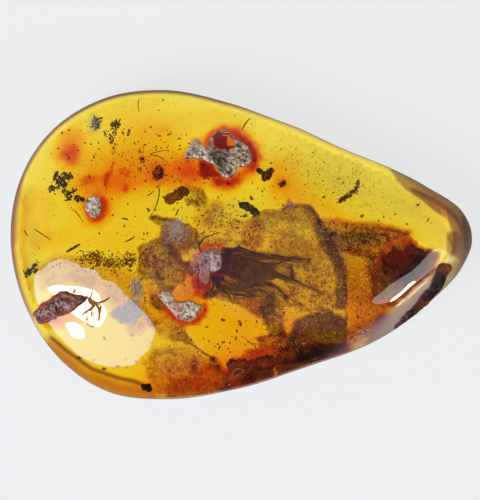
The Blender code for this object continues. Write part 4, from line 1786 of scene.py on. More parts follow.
CRUSTS = (
    Scab(
        "crust_top_grains", "crust_top", "crust", TOP_OUTLINE,
        rises=(
            spot(-19, 101, 1.1, 0.9, -0.2), spot(-23, 84, 0.5, 0.5, -0.16), spot(-18, 77, 0.7, 0.8, -0.1),
            Streak(tenths(-30, 105, -17, 112, -5, 103, 8, 94), 0.16, 0.2), spot(-6, 91, 0.6, 0.6, 0.12),
            Streak(tenths(-55, 88, -42, 89, -30, 86), 0.2, 0.07), spot(-13, 73, 0.6, 0.5, 0.08),
        ),
        stained=(
            Patch(tenths(
                -32, 105, -25, 111, -14, 111, -8, 105, -7, 96, -11, 93, -18, 92, -26, 94, -32, 96,
            ), 0.7, 0.3),
            Patch(tenths(-5, 105, 4, 98, 10, 88, 10, 82, 6, 87, 1, 95, -5, 101), 0.35, 0.3),
        ),
        # Painted shade in the valley between the crust's lobes.
        hollow_shade=(Patch(tenths(
            -32, 94, -25, 94, -13, 92, -11, 90, -14, 83, -15, 73, -20, 68, -25, 77, -31, 84,
        ), 0.85, 0.5), spot(-23, 85, 0.5, 0.3, 0.9), spot(-2, 106, 0.5, 0.2, 0.6, -40)),
        holes=(Patch(tenths(
            -28, 107, -22, 110.4, -13, 110, -8, 105, -7, 98.5, -13, 94, -23, 94.5, -28.5, 100,
        ), 1.0, 0.2),),
    ),
    Scab(
        "crust_left_grains", "crust_left", "crust", LEFT_OUTLINE, Crusted(pale=(0.48, 0.36, 0.25)),
        stained=(Streak(tenths(-138, 46, -137.5, 37, -140, 29, -147, 26, -154, 31), 0.22, 0.6),),
    ),
    Scab(
        "crust_centre_grains", "crust_centre", "crust", CENTRE_OUTLINE,
        Crusted(pale=(0.42, 0.29, 0.25), mid=(0.17, 0.085, 0.07), stained=(0.22, 0.05, 0.04)),
        rises=(spot(-28, -15, 0.6, 0.6, 0.12), spot(-37, -31, 0.5, 0.5, -0.08)),
        stained=(
            spot(-37, -33, 0.7, 0.8, 1.2), spot(-30, -4, 1.0, 0.4, 0.8), spot(-40, -17, 0.4, 1.0, 0.8),
            spot(-20, -17, 0.3, 0.9, 0.5),
        ),
        hollow_shade=(spot(-36, -17, 0.4, 0.6, 0.3),),
    ),
    Scab(
        "crust_lower_grains", "crust_lower", "crust", LOWER_OUTLINE,
        rises=(
            spot(-51, -64, 0.8, 0.7, 0.1), spot(-73, -54, 0.3, 0.5, 0.1), spot(-63, -60, 0.4, 0.6, -0.06),
        ),
        stained=(
            Streak(tenths(-84, -52, -72, -65, -66, -71, -56, -76, -46, -73, -40, -62), 0.24, 0.8),
            spot(-64, -59, 0.6, 0.8, 0.6), spot(-82, -48, 0.4, 0.4, 0.5),
        ),
        hollow_shade=(spot(-61, -70, 0.3, 0.4, 0.5),),
    ),
    Scab(
        "crust_log_grains", "crust_log", "rust_crust", LOG_OUTLINE, RUST, proud=0.3, relief=0.18,
        ragged=0.16, rises=(Streak(tenths(-200, -68, -190, -62, -179, -56, -164, -55), 0.5, 0.12),),
        stained=(
            Streak(tenths(-207, -66, -198, -58, -190, -53, -180, -45.5, -172, -46), 0.35, 0.9),
            Streak(tenths(-205, -75, -192, -74, -180, -69, -166, -63), 0.3, 0.5),
            spot(-162, -50, 0.6, 0.3, 0.6),
        ),
    ),
    Scab(
        "crust_slit_grains", "crust_slit", "rust_crust", SLIT_OUTLINE, SLIT_RUST, proud=0.22, step=0.05,
        stained=(
            spot(203, -22, 0.6, 0.5, 1.0), spot(181, -59, 0.7, 0.6, 0.6, 50),
            spot(156, -79, 0.7, 0.4, 0.4, 40),
        ),
        hollow_shade=(spot(194, -31, 0.5, 0.8, 0.7, -20),),
    ),
)
DEBRIS = (
    Rubble("plant_clump_grains", "plant_clump", "plant", (
        Lump(-17.75, 6.3, 4.6, (1.0, 1.5, 1.0), 20), Lump(-17.35, 5.95, 4.6, (1.9, 1.2, 0.9), 50),
        Lump(-16.8, 5.0, 4.7, (1.7, 1.2, 0.9), -40), Lump(-15.8, 4.4, 4.6, (1.3, 0.6, 0.6), -15),
        Lump(-16.9, 6.6, 4.6, (1.2, 0.5, 0.5), -20), Lump(-18.4, 5.4, 4.6, (0.7, 0.6, 0.5)),
    ), PLANT, 330),
    Rubble(
        "debris_clump_grains", "debris_clump", "plant", (Lump(-14.25, 11.5, 4.7, (1.5, 1.0, 1.1), 75),),
        Dusty(dark=(0.1, 0.075, 0.05), pale=(0.62, 0.5, 0.36), grain=0.18), 110,
    ),
    Rubble("stem_bit_grains", "stem_bit", "bark", (
        Lump(-12.3, 11.4, 4.6, (1.0, 0.8, 0.8), 40), Lump(-12.35, 11.4, 4.6, (0.9, 0.6, 0.7), 0),
        Lump(-12.6, 10.45, 4.6, (1.9, 0.7, 0.5), 72),
    ), PLANT, 120, (0.08, 0.34)),
    Rock("bark_bit_grains", "bark_bit", "bark", (
        Lump(2.3, 6.45, 4.7, (1.3, 0.95, 0.9), 40), Lump(1.65, 6.75, 4.6, (1.1, 0.45, 0.4), -35),
        Lump(2.7, 6.9, 4.7, (0.7, 0.5, 0.5), 60),
    ), BARK, knobs=30, knob_size=(0.12, 0.35)),
    Rock(
        "halo_grain_grains", "halo_grain", "rust_crust", (Lump(-8.2, 6.85, 4.7, (1.5, 1.0, 1.2), 80),),
        Crusted(pale=(0.62, 0.34, 0.25), mid=(0.34, 0.14, 0.09), dark=(0.1, 0.038, 0.024)), knobs=40,
        knob_size=(0.1, 0.35),
    ),
    Rock(
        "grey_grain_grains", "grey_grain", "crust", (Lump(3.9, 5.6, 4.6, (0.7, 0.6, 0.7)),), Crusted(),
        knobs=14, knob_size=(0.1, 0.3),
    ),
    Rock(
        "brown_flake_grains", "brown_flake", "bark",
        (
            Lump(-7.0, 4.4, 4.6, (1.3, 1.2, 0.5), 30), Lump(-6.3, 4.75, 4.6, (1.5, 1.2, 0.5), 20),
            Lump(-5.8, 5.1, 4.7, (1.5, 1.0, 0.5), -20),
        ),
        Dusty(dark=(0.28, 0.115, 0.085), pale=(0.46, 0.21, 0.15), grain=0.5, clear=0.2), knobs=14,
        knob_size=(0.1, 0.35), relief=0.08,
    ),
    Rock(
        "dark_flake_grains", "dark_flake", "bark",
        (Lump(0.3, 3.65, 5.3, (1.6, 0.85, 0.5), -18), Lump(1.15, 3.15, 5.3, (1.6, 0.8, 0.5), -35)),
        Dusty(dark=(0.03, 0.04, 0.06), pale=(0.12, 0.15, 0.26), grain=0.4), knobs=14, knob_size=(0.1, 0.3),
        relief=0.08,
    ),
    Rubble("twig_grains", "twig", "plant", (
        Lump(11.3, 5.6, 4.6, (0.8, 0.35, 0.5), 75), Lump(11.1, 5.0, 4.6, (1.0, 0.6, 0.6), 70),
        Lump(10.7, 4.6, 4.6, (1.1, 0.5, 0.6), 30), Lump(10.2, 4.3, 4.6, (1.3, 0.45, 0.5), 30),
        Lump(9.8, 4.05, 4.6, (1.1, 0.4, 0.5), 25),
    ), TWIG, 190, (0.08, 0.3)),
    Rubble(
        "debris_band_grains", "debris_band", "plant",
        (
            Lump(-14.75, -1.05, 4.6, (2.1, 1.3, 0.8), 10), Lump(-14.1, -1.4, 4.7, (2.1, 1.4, 0.8), -20),
            Lump(-13.3, -1.5, 4.6, (2.1, 1.3, 0.8), -10), Lump(-12.15, -1.7, 4.6, (2.3, 1.3, 0.8), 10),
            Lump(-11.0, -1.5, 4.6, (1.7, 1.2, 0.7), 30),
        ),
        Dusty(dark=(0.42, 0.19, 0.06), pale=(0.9, 0.5, 0.2), grain=0.16, clear=0.7), 620, (0.06, 0.26),
        0.27,
    ),
    Rubble(
        "edge_crumb_grains", "edge_crumb", "plant",
        (Lump(-20.05, -2.05, 4.6, (1.3, 0.8, 0.9), 50), Lump(-20.6, -2.6, 4.6, (0.7, 0.5, 0.6), 60)),
        Dusty(dark=(0.04, 0.034, 0.034), pale=(0.24, 0.2, 0.2), grain=0.2), 90, (0.1, 0.4),
    ),
    Rock(
        "black_grain_grains", "black_grain", "bark", (Lump(-9.45, -13.6, 4.6, (0.9, 0.6, 0.7)),), BARK,
        knobs=8,
    ),
    Rock(
        "bark_lump_grains", "bark_lump", "bark",
        (Lump(15.45, -1.85, 4.4, (4.4, 3.4, 3.0), -20), Lump(17.1, -1.0, 4.6, (3.0, 1.8, 1.8), -20)), CHAR,
        knobs=40, knob_size=(0.3, 0.7), relief=0.2, core=0.8,
    ),
    Rock("bark_sliver_grains", "bark_sliver", "bark", (
        Lump(-0.3, -11.45, 4.5, (3.0, 1.5, 1.4), -8), Lump(1.95, -11.15, 4.6, (3.4, 1.5, 1.6), 10),
        Lump(4.35, -10.45, 4.5, (3.0, 1.3, 1.4), 20),
    ), CHAR, knobs=50, core=0.9),
)
LEFT_FILM = tenths(
    -91, 28, -86, 28, -79, 27, -73, 26.5, -66, 26.5, -62, 24, -59, 21.5, -55, 20.5, -51, 17.5, -49, 16,
    -50, 10, -49.5, 4, -49, -2, -53, -6, -52, -15, -54, -20, -57, -23, -57, -33, -60, -39, -66, -41,
    -70, -45, -76, -46, -80, -44, -85, -39, -90, -34, -96, -35, -102, -33, -104, -27, -103, -17, -102, -10,
    -104, -3, -100, 0, -94, 2, -89, 5, -84, 5.6, -80.5, 7, -79.5, 13, -81, 18, -85, 22, -89, 25,
)
MAIN_FILM = tenths(
    -45, 48, -37, 49, -30, 46, -20, 45, -16, 42, -14, 35, -9, 28, -2, 24, 4, 22.5, 10, 28, 16, 33, 24, 35,
    34, 34.5, 42, 37, 48, 41, 55, 40.5, 67, 40, 70, 36, 74, 31, 78, 24, 81, 13, 88, -2, 95, -14, 101, -26,
    104, -39, 104.5, -52, 103, -63, 105, -73, 103, -85, 102, -100, 88, -105, 68, -107, 48, -107, 35, -101,
    26, -93, 28, -83, 20, -73, 9, -66, -1, -63.5, -8, -58, -20, -54.5, -33, -51, -39, -45, -44, -35,
    -46, -23, -49, -13, -46, -2, -49, 9, -51, 18, -49, 30, -48, 40,
)
FILMS = (
    FilmSheet("dust_film_left", (
        Wash(Tone.BROWN, Patch(LEFT_FILM, 0.2, 0.25), 0.15, 0.3),
        Wash(Tone.MAROON, Patch(LEFT_FILM, 0.1, 0.4), 0.15, 0.3),
        Wash(Tone.BROWN, Streak(LEFT_FILM + LEFT_FILM[:1], 0.15, 0.3), 0.0, 0.6),
        Wash(Tone.BROWN, Streak(tenths(-91, 27.5, -85, 27, -76, 25.5), 0.2, 0.8)),
        Wash(Tone.PURPLE, Patch(tenths(
            -79, 26, -66, 25, -59, 21, -50, 16, -50, -1, -58, -5, -70, -4, -82, -1, -80, 7, -80, 17,
        ), 0.32, 0.4), 0.3, 0.1),
        Wash(Tone.PURPLE, spot(-76, 5, 0.6, 0.9, 0.5), 0.3, 0.1),
        Wash(Tone.RUST, spot(-58, 4, 0.9, 0.9, 0.25), 0.2, 0.2),
        Wash(Tone.BROWN, Patch(tenths(
            -102, -3, -90, 4, -78, 2, -72, -5, -70, -23, -78, -39, -90, -33, -102, -32,
        ), 0.2, 0.5), 0.2, 0.5),
        Wash(Tone.MAROON, Patch(tenths(
            -102, -3, -86, 3, -72, -7, -66, -23, -78, -39, -94, -33,
        ), 0.16, 0.6), 0.1, 0.8),
        Wash(Tone.MAROON, Streak(tenths(
            -74, -2, -68, -8, -63, -15, -57, -18, -50, -26,
        ), 0.45, 0.7, 1.5), 0.2, 0.2),
        Wash(Tone.PURPLE, spot(-83, -31, 0.4, 0.7, 0.6, 20), 0.3, 0.3),
        Wash(Tone.OLIVE, Patch(AROUND_BUBBLE, 0.3, 0.15), 0.1, 0.5),
        Wash(Tone.BROWN, Streak(AROUND_BUBBLE + AROUND_BUBBLE[:1], 0.09, 0.6), 0.0, 0.1),
        Wash(Tone.BROWN, Patch(tenths(
            -77, -39, -66, -41, -70, -49, -82, -47, -84, -41,
        ), 0.5, 0.3), 0.15, 0.5),
        Wash(Tone.BROWN, Patch(tenths(
            -91, -50, -84, -49, -77, -55, -75, -61, -79, -64.5, -86, -64, -90, -60, -92, -55,
        ), 0.55, 0.4), 0.3, 0.4),
        Wash(Tone.MAROON, spot(-82, -62, 0.6, 0.4, 0.4), 0.2, 0.3),
        Wash(Tone.GOLD, spot(-94, -43, 1.0, 1.2, 0.9), 0.1, 0.9),
        Wash(Tone.OLIVE, Streak(tenths(-109, -58, -103, -64, -96, -70, -90, -76), 0.4, 0.5), 0.1, 0.7),
        Wash(Tone.PURPLE, spot(-105, -44, 0.5, 0.8, 0.25), 2.2, 0.3),
        Wash(Tone.RUST, Patch(tenths(
            -206, -23, -186, -11, -142, -17, -114, -25, -102, -39, -92, -53, -91, -81, -110, -89,
            -122, -71, -142, -49, -172, -39, -200, -43,
        ), 0.24, 1.4), 0.1, 0.4),
        Wash(Tone.RUST, Patch(tenths(
            -94, -77, -72, -70, -60, -80, -56, -91, -66, -98, -82, -90,
        ), 0.4, 0.8), 0.15, 0.6),
        Wash(Tone.BROWN, Patch(tenths(
            -66, -80, -56, -86, -48, -100, -56, -99, -70, -93,
        ), 0.5, 0.4), 0.15, 0.5),
        Wash(Tone.BROWN, Streak(tenths(-54, -98, -44, -104, -36, -109, -28, -114), 0.11, 1.0), 0.0, 0.2),
        Wash(Tone.MAROON, spot(-28.5, -114, 0.3, 0.25, 1.0), 0.1, 0.2),
        Wash(Tone.BROWN, Patch(tenths(
            -49, 16, -45, 17, -42, 5, -41, -2, -47, -5, -52, -3, -48, 5,
        ), 0.45, 0.2), 0.2, 0.4),
    ), (spot(-56, -13, 0.42, 0.46, 0.95, 0, 2.0), spot(-62, -47, 0.5, 0.6, 0.6)), node="film_left"),
    FilmSheet(
        "dust_film_main",
        (
            Wash(Tone.GOLD, Patch(MAIN_FILM, 0.22, 0.3), 0.1, 0.6),
            Wash(Tone.BROWN, Streak(MAIN_FILM[8:34], 0.12, 0.3), 0.0, 0.5),
            Wash(Tone.BROWN, Patch(tenths(
                -47, 45, -30, 46, -18, 42, -16, 32, -4, 24, 4, 21, 8, 13, -2, 5, -20, 9, -38, 15, -48, 17,
            ), 0.07, 0.4), 0.12, 1.0),
            Wash(Tone.BROWN, Patch(tenths(
                -48, 13, -30, 9, -2, 5, 20, 9, 20, -1, -2, -1, -20, 1, -42, -3,
            ), 0.24, 0.4), 0.12, 0.9),
            Wash(Tone.RUST, Patch(tenths(
                0, 15, 6, 22, 15, 29, 22, 21, 22, 3, 14, -5, 2, -3,
            ), 0.35, 0.6), 0.15, 0.5),
            Wash(Tone.RUST, spot(-33, 25, 0.4, 0.5, 0.3), 0.3, 0.1),
            Wash(Tone.BROWN, Patch(tenths(
                -62, 56, -50, 59, -39, 56, -35, 45, -43, 37, -55, 42,
            ), 0.45, 0.5), 0.15, 0.95),
            Wash(Tone.BROWN, spot(-31, 35, 0.8, 0.5, 0.4), 0.1, 0.7),
            Wash(Tone.OLIVE, Patch(tenths(
                8, 23, 16, 32, 24, 33.5, 34, 33, 43, 36.5, 49, 39.5, 67, 39, 74, 30, 78, 22, 80, 9, 58, 7,
                40, 7, 26, 11, 14, 14,
            ), 0.36, 0.5), 0.3, 0.15),
            Wash(Tone.BROWN, Patch(tenths(
                20, 31, 34, 33, 43, 36.5, 49, 39.5, 67, 39, 74, 30, 78, 22, 58, 23, 38, 25,
            ), 0.16, 0.5), 0.3, 0.15),
            Wash(Tone.PURPLE, Streak(tenths(42, 37, 48, 40, 67, 39, 74, 30, 78, 22), 0.2, 0.6), 0.2, 0.1),
            Wash(Tone.OLIVE, Streak(tenths(26, 15, 40, 18, 56, 16, 66, 11), 0.45, -0.32), 0.0, 0.6),
            Wash(Tone.BROWN, Streak(tenths(
                76, 19, 82, 7, 89, -5, 96, -17, 99, -30, 99.5, -45, 99, -59,
            ), 0.6, 0.85, 2.5), 0.3, 0.1),
            Wash(Tone.BROWN, Patch(tenths(
                28, 7, 80, 7, 90, -11, 92, -31, 70, -33, 54, -17, 30, -13,
            ), 0.32, 0.8), 0.15, 0.6),
            Wash(Tone.BROWN, Patch(tenths(
                34, -17, 58, -21, 92, -35, 92, -67, 58, -67, 38, -39,
            ), 0.34, 0.6), 0.1, 0.9),
            Wash(Tone.RUST, spot(85, -51, 0.8, 1.4, 0.3), 0.1, 0.5),
            # Painted shadow: a dark wash on the film under the animal's body.
            Wash(Tone.MAROON, Patch(tenths(
                -24, -9, -12, -6, 4, -7, 20, -9, 34, -15, 33, -31, 22, -39, 4, -43, -16, -42, -34, -39,
                -34, -27, -26, -23,
            ), 0.42, 0.5), 0.4, 0.1),
            Wash(Tone.BROWN, Patch(tenths(
                26, -11, 50, -13, 68, -17, 62, -25, 42, -31, 28, -29,
            ), 0.3, 0.6), 0.2, 0.4),
            # Painted shadow of the hind legs and the tail.
            Wash(Tone.MAROON, Streak(tenths(20, -23, 34, -28, 48, -34), 0.5, 0.4), 0.3, 0.2),
            Wash(Tone.BROWN, Patch(tenths(
                -32, -31, -14, -37, 20, -36, 34, -41, 32, -51, 2, -53, -26, -53, -36, -47,
            ), 0.42, 0.5), 0.2, 0.35),
            Wash(Tone.RUST, Patch(tenths(
                2, -46, 20, -43, 32, -49, 31, -63, 26, -74, 14, -72, 4, -63,
            ), 0.66, 0.5), 0.25, 0.2),
            Wash(Tone.BROWN, Patch(tenths(
                -36, -47, 2, -47, 4, -64, -8, -59, -20, -55, -33, -52,
            ), 0.3, 0.3), 0.1, 1.0),
            Wash(Tone.BROWN, Patch(tenths(
                20, -47, 38, -47, 44, -59, 40, -67, 44, -91, 28, -92, 24, -81, 16, -71,
            ), 0.55, 0.5), 0.15, 0.6),
            Wash(Tone.BROWN, Patch(tenths(
                54, -76, 64, -71, 74, -68, 86, -66, 96, -70, 104, -74, 104, -107, 88, -115, 62, -121,
                42, -112, 46, -95,
            ), 1.35, 0.6), 0.0, 0.08),
            Wash(Tone.CRIMSON, Patch(tenths(
                54, -80, 102, -77, 104, -103, 58, -113, 44, -103,
            ), 0.25, 0.8), 0.0, 0.2),
            Wash(Tone.MAROON, Patch(tenths(
                14, -93, 42, -87, 56, -95, 60, -107, 38, -107, 20, -101,
            ), 0.5, 0.5), 0.15, 0.4),
            Wash(Tone.MAROON, Streak(tenths(49, -23, 51, -32), 0.24, 0.22, 2.0), 1.6, 0.1),
            # Painted shadows of the legs: these three dark streaks lie on the film under the leg bundles.
            Wash(Tone.MAROON, Streak(tenths(
                -36, -51, -26, -47, -12, -43, 4, -41, 26, -39, 36, -43, 43, -52,
            ), 0.32, 0.8), 0.2, 0.2),
            Wash(Tone.MAROON, Streak(tenths(
                -18, -5, -6, -5, 8, -8, 26, -10, 42, -13, 66, -15,
            ), 0.24, 0.8), 0.2, 0.2),
            Wash(Tone.MAROON, Streak(tenths(
                24, -27, 38, -32, 52, -37, 64, -42, 79, -48,
            ), 0.18, 0.6), 0.2, 0.2),
            # Painted shadow under a leg's end.
            Wash(Tone.BROWN, Streak(tenths(43, -52, 48, -60, 57, -59), 0.18, 0.5), 0.2, 0.2),
        ),
        (Patch(tenths(
            41, -67, 45, -66, 50, -73, 52, -77, 52, -81, 49, -82, 44, -78, 40, -73,
        ), 0.25, 0.3),),
        node="film_main",
    ),
    FilmSheet("dust_arm", (
        Wash(Tone.BROWN, Patch(tenths(
            79, 16, 88, 12, 103, 8, 110, 14, 120, 15, 130, 14, 138, 11, 150, 13.5, 166, 13, 167, 9, 156, 7,
            146, 3, 138, -7, 132, -16, 122, -14, 110, -10, 102, -7, 92, -7, 85, -3,
        ), 0.42, 0.3), 0.3, 0.35),
        Wash(Tone.CRIMSON, Patch(tenths(
            80, 17, 103, 13, 130, 15, 146, 11, 128, -12, 108, -7, 88, -5,
        ), 0.5, 0.5), 0.1, 0.4),
        Wash(Tone.MAROON, Patch(tenths(
            78, 21, 90, 17, 110, 12, 124, 9, 122, -5, 98, -5, 84, 3,
        ), 0.22, 0.5), 0.3, 0.3),
        Wash(Tone.RUST, Streak(tenths(
            78, 23, 88, 24, 99, 24, 104, 21, 123, 20, 143, 18, 154, 15.4, 167, 12,
        ), 0.3, 0.5), 0.1, 0.2),
        Wash(Tone.RUST, Patch(tenths(
            79, 23, 103, 22, 143, 17, 150, 7, 142, -1, 108, 5, 82, 11,
        ), 0.6, 0.4), 0.15, 0.6),
        Wash(Tone.BROWN, Streak(tenths(104, 16.5, 130, 16.5, 148, 15, 166, 11.5), 0.14, 0.8), 0.0, 0.1),
        Wash(Tone.PURPLE, spot(86, 12, 0.6, 0.35, 0.7, -20), 0.5, 0.2),
    ), level=5.0),
    FilmSheet("dust_crackle", (
        Wash(Tone.BROWN, Patch(tenths(
            92, -6, 103, -5, 110, -8, 122, -11, 133, -13, 134, -35, 132, -51, 124, -58, 110, -58, 103, -51,
            101, -30, 96, -17,
        ), 0.24, 0.4), 0.1, 1.0),
        Wash(Tone.GOLD, Patch(tenths(
            92, -3, 110, -3, 136, -9, 136, -35, 134, -55, 150, -71, 134, -91, 104, -103, 102, -55, 98, -17,
        ), 0.75, 0.4), 0.05, 0.3),
        Wash(Tone.RUST, Patch(tenths(
            104, -51, 130, -53, 138, -67, 124, -89, 106, -91,
        ), 0.15, 0.8), 0.05, 0.7),
        Wash(Tone.RUST, Patch(tenths(
            124, -11, 142, -5, 146, -21, 144, -53, 132, -59, 128, -35,
        ), 0.8, 0.5), 0.1, 0.7),
    ), finish=DustFilm(net=0.27, stretch=(1.0, 0.7, 1.0)), level=5.3),
    FilmSheet("mass_fringe", (
        Wash(Tone.CRIMSON, Patch(tenths(
            136, -17, 140, -4, 147, 4, 156, 9, 166, 10, 172, 3, 176, -3, 186, -4, 197, -10, 192, -25,
            179, -35, 166, -46, 153, -58, 142, -63, 131, -55, 132, -33,
        ), 1.15, 0.8), 0.0, 0.25),
        Wash(Tone.MAROON, Patch(tenths(
            144, -19, 147, -7, 158, -1, 170, -1, 178, -7, 194, -10, 188, -25, 174, -36, 160, -49, 146, -55,
            139, -41, 140, -27,
        ), 0.75, 1.0), 0.0, 0.25),
        Wash(Tone.CRIMSON, spot(162, 3, 0.6, 0.4, -0.1), 0.0, 0.2),
        Wash(Tone.CRIMSON, spot(183, -7, 0.7, 0.25, -0.15), 0.0, 0.2),
        Wash(Tone.RUST, spot(137, -37, 0.8, 2.4, 0.4), 0.0, 0.6),
        Wash(Tone.MAROON, spot(135, -63, 0.9, 1.0, 0.2), 0.0, 0.5),
    ), level=3.2, ragged=0.2),
    FilmSheet("mass_shade", (
        Wash(Tone.BLACK, spot(173, -25, 1.8, 0.9, 0.55, 42)),
        Wash(Tone.MAROON, spot(160, -17, 1.6, 1.4, 0.25), 0.0, 0.4),
    ), level=6.5, ragged=0.3),
    FilmSheet("bottom_fringe", (
        Wash(Tone.CRIMSON, Patch(tenths(
            -20, -129, -6, -119, 4, -107, 20, -102, 38, -102, 58, -100, 78, -99, 101, -99, 111, -107,
            103, -131, 80, -141, 56, -149, 30, -157, 8, -163, -14, -167,
        ), 0.8, 0.6), 0.0, 0.2),
        Wash(Tone.MAROON, Patch(tenths(
            -8, -133, 2, -123, 14, -116, 30, -110, 48, -107, 68, -104, 104, -102, 106, -111, 64, -125,
            34, -133, -2, -139,
        ), 0.8, 0.8), 0.0, 0.3),
        Wash(Tone.BROWN, Patch(tenths(
            48, -107, 68, -103, 100, -101, 104, -109, 64, -123, 42, -129,
        ), 0.25, 0.8), 0.0, 0.2),
        Wash(Tone.MAROON, Streak(tenths(4, -129, 26, -123, 50, -115), 0.7, 0.3), 0.0, 0.4),
        Wash(Tone.CRIMSON, Streak(tenths(33, -113, 33.5, -132), 0.16, -0.9, 2.0)),
        Wash(Tone.MAROON, Streak(tenths(33, -113, 33.5, -132), 0.16, -0.9, 2.0)),
        Wash(Tone.RUST, Patch(tenths(
            102, -85, 124, -77, 142, -67, 152, -77, 132, -95, 106, -107,
        ), 0.55, 0.5), 0.05, 0.5),
        Wash(Tone.RUST, Patch(tenths(
            -76, -143, -46, -129, -28, -117, -14, -127, -10, -141, -16, -155, -76, -157,
        ), 0.7, 0.8), 0.05, 0.3),
        Wash(Tone.CRIMSON, Streak(tenths(-22, -139, -10, -129, -6, -117), 0.5, 0.5), 0.0, 0.3),
        Wash(Tone.MAROON, spot(-48, -121, 0.4, 0.7, 0.5, -30), 0.1, 0.5),
        Wash(Tone.MAROON, spot(-26, -121, 0.4, 0.5, 0.8), 0.1, 0.4),
        Wash(Tone.GOLD, Patch(tenths(
            -100, -117, -86, -105, -56, -101, -28, -117, -42, -129, -82, -149, -90, -139,
        ), 0.95, 0.6), 0.1, 0.6),
        Wash(Tone.BROWN, Patch(tenths(
            -92, -103, -66, -99, -46, -107, -42, -127, -72, -141, -90, -129,
        ), 0.12, 0.8), 0.1, 0.9),
        Wash(Tone.BROWN, Streak(tenths(0, -91, 6, -97, 20, -101), 0.1, 0.6), 0.0, 0.2),
    ), level=3.6, ragged=0.2, most_share=0.995),
    # Painted sheen near the dome: its lilac washes are painted highlights; its other washes are pale, milky
    # marks.
    FilmSheet("painted_sheen_and_flakes", (
        Wash(Tone.PAINTED_SHEEN, spot(-65, 18, 0.7, 0.45, 0.32, 62), 1.6, 0.0),
        Wash(Tone.PAINTED_SHEEN, Patch(tenths(
            -78, 24, -66, 24, -52, 16, -52, 7, -62, 2, -76, 2, -80, 13,
        ), 0.34, 0.6), 0.3, 0.1),
        Wash(Tone.ASH, spot(-105, -44, 0.5, 0.8, 0.5), 0.9, 0.2),
        Wash(Tone.ASH, Patch(tenths(
            -133, -69, -124, -61, -112, -55, -102, -55, -100, -69, -108, -79, -122, -78,
        ), 0.45, 0.5), 0.8, 0.2),
        Wash(Tone.ASH, spot(125, -89, 0.6, 0.3, 0.4, -20), 0.8, 0.2),
        Wash(Tone.RUST, Patch(tenths(44, 45, 48, 46, 52, 42, 53, 37, 49, 36, 45, 39), 0.3, 0.2), 1.3, 0.1),
        Wash(Tone.ASH, spot(-148, 121, 0.6, 0.8, 0.25), 0.8, 0.3),
        Wash(Tone.PAINTED_SHEEN, spot(-45, -18, 0.5, 0.9, 0.4), 0.9, 0.3),
    ), finish=DustFilm(grain=1.2, mottle=2.4), level=0.3, drape=True),
)
